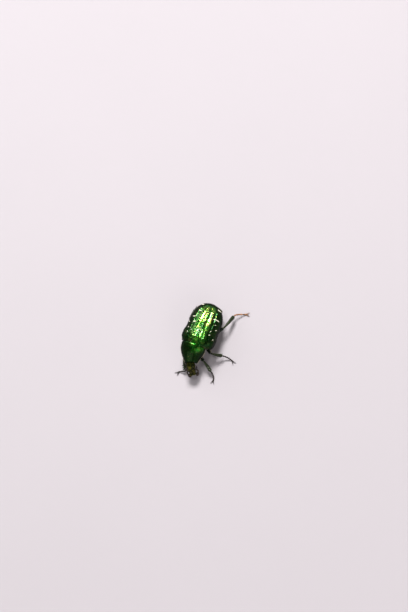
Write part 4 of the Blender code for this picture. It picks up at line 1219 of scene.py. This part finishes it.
def make_mouth():
    """Labrum, jaws, the brush-bearing lobes, lip and the two pairs of palps under the clypeus."""
    places = np.linspace(1.2, 2.82, 40)[:, None]
    share = (places - places[0]) / (places[-1] - places[0])
    ends = np.maximum(domed(share, 0.05, 0.16), 0.2)
    half = (0.66 - 0.21 * share) * ends
    deep = 0.56 * np.sin(math.pi * (0.22 + 0.62 * share)) * ends
    top = -smooth(HEAD_STATIONS, places)[2] - 0.02
    turns = circle(60)
    side = half * np.sin(turns)
    rings = head_point(side, places, top - deep / 2 + deep / 2 * np.cos(turns))
    relief = 0.015 * value_noise(rings, 0.3, 92) - 0.03 * pits(rings, 0.24, 0.07, 91, 0.7)
    relief -= 0.05 * bell(side, 0, 0.05) + 0.06 * bell(np.abs(side), 0.42, 0.05)
    forms = [relief_form(rings, relief)]
    forms.append(ellipsoid_form(head_point(*LABRUM_PLACE), LABRUM_RADII, 24, 40, HEAD_AXES))
    sizes = np.interp(np.linspace(0, 1, 16), [0, 0.4, 0.8, 1], [0.32, 0.34, 0.22, 0.06])
    for sign in (-1, 1):
        forms.append(tube(smooth_path(head_points(sign, JAW), 16), sizes, sizes * 0.7, HEAD_UP, 16))
        root, bend, tip = head_points(sign, PALP)
        palp = smooth_path([root, bend + (root - bend) * 0.2, bend, tip], 60)
        lower = smooth_path(head_points(sign, LOWER_PALP), 20)
        for route, sides, rows, joints in ((palp, 16, 12, PALP_JOINTS), (lower, 12, 9, LOWER_PALP_JOINTS)):
            for first, last, radius in joints:
                radii = (radius * 0.75, radius, radius * 0.8)
                forms.append(segment_form(route[first], route[last], radii, HEAD_UP, sides, rows))
    piece("mouth", joined(forms), MOUTH, ["mouthparts"])


def leg_frame(leg):
    """The shin's direction, the direction across the leg's plane and the one out of the knee's bend."""
    hip, knee, ankle = leg[:3]
    along = unit(ankle - knee)
    across = unit(np.cross(knee - hip, ankle - knee))
    outward = np.cross(along, across)
    return along, across, outward * math.copysign(1, outward @ (knee - hip))


def make_coxa(name, leg):
    pair = pair_of(name)
    centre = leg[0] + [-math.copysign(COXA_INWARDS[pair], leg[0][0]), 0, 0.1]

    def relief(ball):
        return 1 - 0.03 * pits(ball, 0.26, 0.1, 101, 0.8) + 0.02 * value_noise(ball, 0.5, 102)

    form = ellipsoid_form(centre, COXA_RADII[pair], 40, 56, relief=relief)
    piece(f"hip_{name}", form, BELLY, [f"coxa_{name}"])


def make_femur(name, leg):
    """The thigh with the small ring joint at its root."""
    pair = pair_of(name)
    hip, knee = leg[:2]
    along = unit(knee - hip)
    _, across, outward = leg_frame(leg)
    shares = eased(0.02, 0.985, 74)
    width = 2 * femur_radius(pair, shares) * np.maximum(domed(shares, 0.1, 0.12), 0.2)
    path = between(hip + along * FEMUR_START, knee + along * 0.06, shares)
    rings = tube_rings(path, width * LEG_FLATNESS, width, across, 48, 2.15)
    normal = grid_normals(rings, True)
    share = shares[:, None]
    relief = -0.02 * pits(rings, 0.24, 0.07, 111, 0.8) * ramp(share, 0.05, 0.2)
    relief += 0.01 * value_noise(rings, 0.5, 112)
    # The groove on the shin's side, and a low rib beside the knee.
    relief -= 0.1 * ramp(-(normal @ outward), 0.86, 0.99) * ramp(share, 0.45, 0.7)
    relief += 0.05 * bell(share, 0.93, 0.02) * ramp(np.abs(normal @ across), 0.5, 0.9)
    root = FEMUR_SIZES[pair][0] / 2
    radii = (root * 0.9, root * 1.06, root * 0.8)
    ring_joint = segment_form(hip + along * 0.1, hip + along * 0.75, radii, across, 30, 24, 0.85, (0.3, 0.3))
    form = joined([closed_form(raised(rings, normal, relief)), ring_joint])
    piece(f"thigh_{name}", form, LEG, [f"femur_{name}"])


def tibia_start(leg):
    hip, knee, ankle = leg[:3]
    along = unit(ankle - knee)
    straightness = float(np.clip(unit(knee - hip) @ along, -1, 1))
    return knee + along * KNEE_CLEARANCE * (1 - straightness) ** 1.5


def make_tibia(name, leg):
    """The shin with its keels, teeth, two spurs, a ring of end spines and two rows of bristles."""
    pair = pair_of(name)
    ankle = leg[2]
    along, across, outward = leg_frame(leg)
    start = tibia_start(leg)
    reach = ankle - start
    root, middle, end = TIBIA_SIZES[pair]
    shares = eased(0.015, 0.99, 90)
    widths = [root * 0.8, root, root * 0.86, middle, end, end * 0.9]
    width = np.interp(shares, [0, 0.08, 0.16, 0.5, 0.88, 1], widths)
    width = width * np.maximum(domed(shares, 0.07, 0.05), 0.25)
    thick = np.maximum(width * LEG_FLATNESS, 0.36) * np.maximum(domed(shares, 0.05, 0.05), 0.3)
    bow = TIBIA_BOW * np.sin(shares * math.pi)
    rings = tube_rings(between(start, ankle, shares) + bow[:, None] * outward, thick, width, across, 48, 2.2)
    normal = grid_normals(rings, True)
    flat = np.abs(normal @ across)
    share = shares[:, None]
    relief = -0.022 * pits(rings, 0.22, 0.07, 121, 0.85)
    # The keel on the outer edge, and two keels along each flat side with a hollow between.
    relief += 0.05 * ramp(normal @ outward, 0.93, 0.995) * ramp(share, 0.1, 0.25)
    relief += 0.03 * bell(flat, 0.78, 0.1) * ramp(share, 0.15, 0.3)
    relief -= 0.035 * ramp(flat, 0.93, 0.99) * ramp(share, 0.12, 0.3)
    relief += 0.008 * value_noise(rings, 0.3, 122)
    forms = [closed_form(raised(rings, normal, relief))]
    for place, size in FRONT_TEETH if pair == "front" else OTHER_TEETH:
        foot = start + reach * place + outward * (middle * 0.3)
        tip = foot + outward * (middle * 0.22 + 0.36 * size) + along * 0.28 * size
        forms.append(spine_form(foot, tip, 0.19 * size + 0.03, 12, 12, along * 0.03))
    # The spurs, the end spines and the bristles.
    for sway in (-1, 1):
        foot = start + reach * 0.95 - outward * 0.2 + across * sway * 0.08
        tip = ankle + along * 0.32 + across * sway * 0.28 - outward * 0.64
        forms.append(spine_form(foot, tip, 0.085, 10, 12, -outward * 0.05))
    for turn in circle(14) + 0.2:
        out = across * math.cos(turn) * 0.26 + outward * math.sin(turn) * end * 0.4
        forms.append(spine_form(ankle - along * 0.1 + out, ankle + along * 0.1 + out * 1.12, 0.035, 6, 5))
    rng = np.random.default_rng(7)
    bristles = 16
    for k in range(bristles):
        place = 0.22 + 0.72 * k / bristles
        sway = across * (1 if k % 2 else -1)
        foot = start + reach * place + outward * (bow.max() * math.sin(place * math.pi) + middle * 0.28)
        foot = foot + sway * 0.12
        tip = foot + outward * 0.16 + along * (0.12 + 0.06 * rng.random()) + sway * 0.06
        forms.append(spine_form(foot, tip, 0.03, 5, 4))
    piece(f"shin_{name}", joined(forms), SHIN, [f"tibia_{name}"])


def foot_path(leg, count):
    """Points along a foot: on in the shin's direction, then in a smooth bend to the toe."""
    _, knee, ankle, bend, toe = leg
    along = unit(ankle - knee)
    start = ankle + along * 0.34
    first = start + along * FOOT_RUN_OUT
    second = (8 * bend - start - 3 * first - toe) / 3
    t = np.linspace(0, 1, count)[:, None]
    path = (1 - t) ** 3 * start + 3 * t * (1 - t) ** 2 * first + 3 * t**2 * (1 - t) * second + t**3 * toe
    lead = between(ankle + along * TARSUS_START, start, np.linspace(0, 1, count // 8)[:-1])
    return np.concatenate([lead, path])


def make_tarsus(name, leg):
    """A foot of five joints, each widening to a spiny end, then two curved claws with a bristle between."""
    path = foot_path(leg, 400)
    run = np.concatenate([[0], np.cumsum(np.linalg.norm(np.diff(path, axis=0), axis=1))])
    heading = unit((path[-1] - path[-30]) * [1, 1, 0])
    beside = np.array([-heading[1], heading[0], 0])
    overlap = 0.05
    ends = np.cumsum([0.0, *TARSUS_SHARES]) * (run[-1] - overlap)
    up = np.array([0, 0, 1.0])
    t = np.linspace(0, 1, 26)
    forms = []
    for first, last in zip(ends[:-1], ends[1:]):
        if last < ends[-1]:
            last = last + overlap
            size = np.interp(t, [0, 0.25, 0.8, 1], [0.5, 0.66, 1.06, 1.02])
        else:
            size = np.interp(t, [0, 0.2, 0.7, 1], [0.52, 0.6, 0.86, 0.96])
        joint = xyz(*(np.interp(first + (last - first) * t, run, values) for values in path.T))
        size = TARSUS_WIDTH * size * np.maximum(domed(t, 0.1, 0.14), 0.3)
        rings = tube_rings(joint, size, size * 0.9, up, 24, 2.1)
        forms.append(relief_form(rings, -0.012 * pits(rings, 0.16, 0.05, 131, 0.8)))
        tangent = unit(joint[-1] - joint[0])
        level = unit(np.cross(tangent, up))
        below = np.cross(tangent, level)
        below = below * math.copysign(1, -below[2])
        for sway in (-1, 1):
            foot = joint[-5] + level * sway * TARSUS_WIDTH * 0.3 + below * TARSUS_WIDTH * 0.26
            tip = foot + tangent * 0.26 + level * sway * 0.12 + below * 0.06
            tip[2] = max(tip[2], 0.03)
            foot[2] = max(foot[2], 0.04)
            forms.append(spine_form(foot, tip, 0.03, 5, 5))
    toe = path[-1]
    sizes = np.interp(t, [0, 0.3, 0.7, 1], [0.26, 0.24, 0.15, 0.035])
    for sway in (-1, 1):
        claw = [toe + heading * ahead + beside * sway * aside + up * lift for ahead, aside, lift in CLAW]
        forms.append(tube(smooth_path(claw, 26), sizes * 0.8, sizes, up, 16))
    forms.append(spine_form(toe + heading * 0.02 + up * 0.02, toe + heading * 0.3, 0.05, 8, 6))
    points, faces = joined(forms)
    points[:, 2] = np.maximum(points[:, 2], 0.0)
    finish = BACKLIT_HIND_FOOT if name.startswith("rear") else FOOT
    piece(f"foot_{name}", (points, faces), finish, [f"tarsus_{name}"])


class Coat:
    """Collects hairs: each a thin cone of three sides that bends, with a patch of its own on the bake map."""

    def __init__(self, seed):
        self.random = np.random.default_rng(seed)
        self.hairs = []

    def add(self, roots, directions, length, spots, radius=HAIR_RADIUS):
        directions = unit(directions + self.random.normal(0, 0.18, directions.shape))
        lengths = (length * self.random.uniform(0.7, 1.15, len(roots)))[:, None]
        bows = np.cross(directions, self.random.normal(0, 1, directions.shape)) * 0.12 * lengths
        sizes = np.full((len(roots), 1), radius)
        self.hairs.append((roots, roots + directions * lengths, bows, sizes, spots))

    def build(self, part, root_colour, tip_colour):
        """Makes one piece of all the hairs on a part of the body."""
        roots, tips, bows, sizes, spots = (np.concatenate(parts) for parts in zip(*self.hairs))
        count = len(roots)
        along = unit(tips - roots)
        level = unit(np.cross(along, [0.37, 0.21, 0.9]))
        rise = np.cross(along, level)
        parts = []
        for t, wide in ((0.0, 1.0), (0.5, 0.72)):
            middle = roots + (tips - roots) * t + bows * math.sin(t * math.pi)
            for turn in circle(3):
                parts.append(middle + (level * math.cos(turn) + rise * math.sin(turn)) * sizes * wide)
        points = np.stack([*parts, tips], axis=1).reshape(-1, 3)
        points[:, 2] = np.maximum(points[:, 2], HAIR_FLOOR)
        # One hair: its faces, and the places of its seven points on the patch.
        pattern = [(0, 1, 4, 3), (1, 2, 5, 4), (2, 0, 3, 5), (3, 4, 6), (4, 5, 6), (5, 3, 6), (2, 1, 0)]
        flat = [(0.0, 0.0), (0.5, 0.0), (1.0, 0.0), (0.0, 0.5), (0.5, 0.5), (1.0, 0.5), (0.5, 1.0)]
        faces = [[len(flat) * i + c for c in face] for i in range(count) for face in pattern]
        reach = np.tile([0, 0, 0, 0.5, 0.5, 0.5, 1], count)
        finish = hair_finish(f"{part}_hair", root_colour, tip_colour)
        made = piece(f"{part}_hairs", (points, faces), finish, marks={"reach": reach})
        layer = made.data.uv_layers.new(name="OFBake")
        patch = np.array([flat[c] for face in pattern for c in face]) * TUFT_PATCH
        places = (spots[:, None, :] * (1 - TUFT_PATCH) + patch[None, :, :]).reshape(-1)
        layer.data.foreach_set("uv", places.astype(np.float32))


def chart(column, share_u, share_v):
    """A place on the bake map: each region of the body has its own column."""
    u = (column + 0.04 + 0.92 * np.clip(share_u, 0, 1)) / CHART_COLUMNS
    return np.column_stack([u, 0.02 + 0.95 * np.clip(share_v, 0, 1)])


def belly_hairs():
    coat = Coat(3)
    draw = coat.random.uniform
    count = 1300
    front, end = -3.2, 6.6
    place = draw(front, end, count)
    turn = power(draw(-1, 1, count), 0.7) * math.pi / 2
    outer_half, margin, _ = trunk_section(place)
    belly, flank_inset = smooth(BELLY_STATIONS, place)
    ledge = margin - LEDGE_DEPTH
    share = 2 / BELLY_FULLNESS
    x = (outer_half - flank_inset) * power(np.sin(turn), share)
    roots = xyz(x, place, ledge - (ledge - belly) * np.cos(turn) ** share)
    outward = xyz(np.sin(turn), 0, -np.cos(turn))
    keep = (np.abs(roots[:, 0]) > 0.9) | (place > 2.0) & (coat.random.random(count) < 0.25)
    rear = place > THORAX_REAR
    directions = outward * np.where(rear, 0.35, 0.9)[:, None] + [0, 0.9, -0.1]
    spots = chart(0, (turn / math.pi) + 0.5, (place - front) / (end - front))
    coat.add((roots - outward * 0.06)[keep], directions[keep], np.where(rear, 0.22, 0.42)[keep], spots[keep])
    # The underside of the prothorax, from each side margin down. Its rings start at the top.
    count = 900
    share = draw(0.03, 0.97, count)
    side = np.where(coat.random.random(count) < 0.5, -1.0, 1.0)
    lower = draw(0.0, 1.0, count)
    sides = 72
    steps = sides / 4 + lower * sides / 6
    roots = []
    directions = []
    for s, sign, step in zip(share, side, steps):
        ring = prothorax_ring(s, sides)
        point = ring[int(round(step if sign > 0 else sides - step))]
        away = unit(point - ring.mean(axis=0))
        roots.append(point - away * 0.04)
        directions.append(away + [0, -0.35, -0.3])
    coat.add(np.array(roots), np.array(directions), 0.42, chart(1, 0.5 + side * lower * 0.5, share))
    coat.build("belly", (0.34, 0.26, 0.13), (0.72, 0.64, 0.46))


def head_hairs():
    coat = Coat(5)
    draw = coat.random.uniform
    across, ahead, up = HEAD_AXES
    # On top, then under the mouth, then on the feelers' first joints.
    count = 230
    side = draw(-1, 1, count)
    along = draw(0.1, 2.3, count)
    half, rise, _ = smooth(HEAD_STATIONS, along)
    height = rise * (1 - np.abs(side) ** HEAD_FULLNESS) ** (1 / HEAD_FULLNESS)
    roots = head_point(side * half, along, height - 0.03)
    directions = np.outer(side, across) + up * 0.9 + ahead * 0.7
    coat.add(roots, directions, 0.14, chart(2, (side + 1) / 2, along / 2.4), FINE_HAIR_RADIUS)
    count = 260
    side = draw(-1, 1, count)
    along = draw(1.3, 2.7, count)
    under = -smooth(HEAD_STATIONS, along)[2]
    roots = head_point(side * 0.54, along, under - 0.42 + 0.16 * np.abs(side))
    directions = np.outer(side * 0.5, across) - up * 0.55 + ahead * 1.1
    coat.add(roots, directions, 0.26, chart(3, (side + 1) / 2, (along - 1.3) / 1.4), radius=0.009)
    count = 50
    for index, sign in enumerate((-1, 1)):
        root, scape = head_points(sign, FEELER[:2])
        t = draw(0.1, 1, count)
        turn = draw(0, 2 * math.pi, count)
        stem = unit(scape - root)
        beside = unit(np.cross(scape - root, up))
        ring = np.outer(np.cos(turn), beside) + np.outer(np.sin(turn), np.cross(stem, beside))
        spots = chart(4, turn / CHART_TURN, 0.5 * t + 0.5 * index)
        roots = root + np.outer(t, scape - root) + ring * 0.16
        coat.add(roots, ring + stem, 0.26, spots, FINE_HAIR_RADIUS)
    coat.build("head", (0.08, 0.06, 0.025), (0.26, 0.2, 0.1))


def leg_hairs():
    coat = Coat(9)
    draw = coat.random.uniform
    for index, (name, leg) in enumerate(LEGS.items()):
        pair = pair_of(name)
        hip, knee, ankle = leg[:3]
        along, across, outward = leg_frame(leg)
        thigh = unit(knee - hip)
        below = np.cross(across, thigh)
        below = below * math.copysign(1, -below[2])
        for kind, count, length in (("thigh", 150, 0.42), ("shin", 170, 0.36)):
            t = draw(0.12, 0.95, count)
            sway = coat.random.choice([-1.0, 1.0], count)
            if kind == "thigh":
                radius = femur_radius(pair, t) * 0.93
                roots = between(hip + thigh * FEMUR_START, knee, t)
                side, lead = below, thigh
            else:
                radius = np.interp(t, [0, 0.5, 1], TIBIA_SIZES[pair]) * 0.44
                bow = TIBIA_BOW * np.sin(t * math.pi)
                roots = between(tibia_start(leg), ankle, t) + np.outer(bow, outward)
                side, lead = -outward, along
            roots = roots + np.outer(radius, side) + np.outer(sway * draw(0, 0.12, count), across)
            directions = side + lead * 0.8 + np.outer(sway * 0.25, across)
            spots = chart(5 + (kind == "shin"), t, (index + draw(0, 0.9, count)) / len(LEGS))
            coat.add(roots - side * 0.03, directions, length, spots, radius=0.01)
    coat.build("leg", (0.3, 0.2, 0.08), (0.7, 0.55, 0.3))


def rear_hairs():
    coat = Coat(13)
    count = 420
    turn = coat.random.uniform(0, 2 * math.pi, count)
    place = coat.random.uniform(0.1, 0.95, count)
    share = np.sqrt(1 - place**2.2)
    local = xyz(share * np.sin(turn), place, share * np.cos(turn)) * PYGIDIUM_HALF
    roots = PYGIDIUM_PLACE + (local * 0.985) @ PYGIDIUM_AXES
    directions = unit((local / PYGIDIUM_HALF**2) @ PYGIDIUM_AXES) + [0, 0.1, -0.8]
    coat.add(roots, directions, 0.24, chart(7, turn / CHART_TURN, place), FINE_HAIR_RADIUS)
    coat.build("rear", (0.4, 0.32, 0.18), (0.76, 0.7, 0.52))


def make_floor():
    """A pale plain floor that sweeps up into a low wall all round, far outside the model."""
    sectors = 96
    turns = circle(sectors)
    round_up = np.linspace(0, math.pi / 2, 16)
    bend = SWEEP_WALL - SWEEP_FLAT
    radii = np.array([SWEEP_FLAT / 2, *(SWEEP_FLAT + bend * np.sin(round_up)), SWEEP_WALL])[:, None]
    heights = np.array([0.0, *(bend * (1 - np.cos(round_up))), SWEEP_HEIGHT])[:, None]
    rings = xyz(radii * np.cos(turns), radii * np.sin(turns), heights)
    faces = grid_faces(len(radii), sectors, True)[:, ::-1].tolist()
    faces.append(list(range(sectors)))
    mesh = bpy.data.meshes.new("floor")
    mesh.from_pydata(rings.reshape(-1, 3).tolist(), [], faces)
    mesh.materials.append(floor_finish())
    mesh.shade_smooth()
    made = added("floor", mesh)
    made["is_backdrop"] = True


def make_lights():
    world = bpy.data.worlds.new("studio")
    world.use_nodes = True
    sky = world.node_tree.nodes["Background"]
    sky.inputs["Color"].default_value = SKY_COLOUR
    sky.inputs["Strength"].default_value = SKY_STRENGTH
    bpy.context.scene.world = world
    bpy.context.scene.view_settings.view_transform = "Standard"
    for name, toward, distance, size, energy, colour in LIGHTS:
        lamp = bpy.data.lights.new(name, "AREA")
        lamp.size = size
        lamp.energy = energy
        lamp.color = colour
        made = added(name, lamp)
        toward = Vector(toward).normalized()
        made.location = toward * distance + Vector((0, 0, LIGHT_AIM))
        made.rotation_mode = "QUATERNION"
        made.rotation_quaternion = toward.to_track_quat("Z", "Y")


def make_camera():
    """The photograph's camera: its direction, turn and scale, and the model's place in the frame."""
    a, e, roll = CAMERA_AZIMUTH, CAMERA_ELEVATION, CAMERA_ROLL
    back = np.array([math.sin(a) * math.cos(e), -math.cos(a) * math.cos(e), math.sin(e)])
    level = np.array([math.cos(a), math.sin(a), 0.0])
    rise = np.cross(back, level)
    right = math.cos(roll) * level + math.sin(roll) * rise
    up = -math.sin(roll) * level + math.cos(roll) * rise
    aside = (PHOTO_WIDTH / 2 - ORIGIN_PIXEL[0]) / PIXELS_PER_MM
    above = (ORIGIN_PIXEL[1] - PHOTO_HEIGHT / 2) / PIXELS_PER_MM
    middle = right * aside + up * above
    distance = PHOTO_HEIGHT / SENSOR * LENS / PIXELS_PER_MM + (FOCUS - middle) @ back
    lens = bpy.data.cameras.new("camera")
    lens.lens = LENS
    lens.sensor_width = SENSOR
    lens.clip_start = 0.01
    lens.clip_end = 10.0
    made = added("camera", lens)
    turned = Matrix(np.stack([right, up, back], axis=1).tolist()).to_4x4()
    made.matrix_world = Matrix.Translation(Vector((middle + back * distance - ORIGIN) * MM)) @ turned
    bpy.context.scene.camera = made


def main():
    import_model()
    cad_low, cad_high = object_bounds()
    for side in (-1, 1):
        make_elytron(side)
    make_scutellum()
    make_thorax()
    make_shoulders()
    make_abdomen()
    make_pygidium()
    make_prothorax()
    make_head()
    make_eyes()
    make_feelers()
    make_mouth()
    for name, leg in LEGS.items():
        make_coxa(name, leg)
        make_femur(name, leg)
        make_tibia(name, leg)
        make_tarsus(name, leg)
    belly_hairs()
    head_hairs()
    leg_hairs()
    rear_hairs()
    make_floor()
    make_lights()
    make_camera()
    low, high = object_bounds()
    return [list(v) for v in (cad_low, cad_high, low, high)]


SIZES = main()
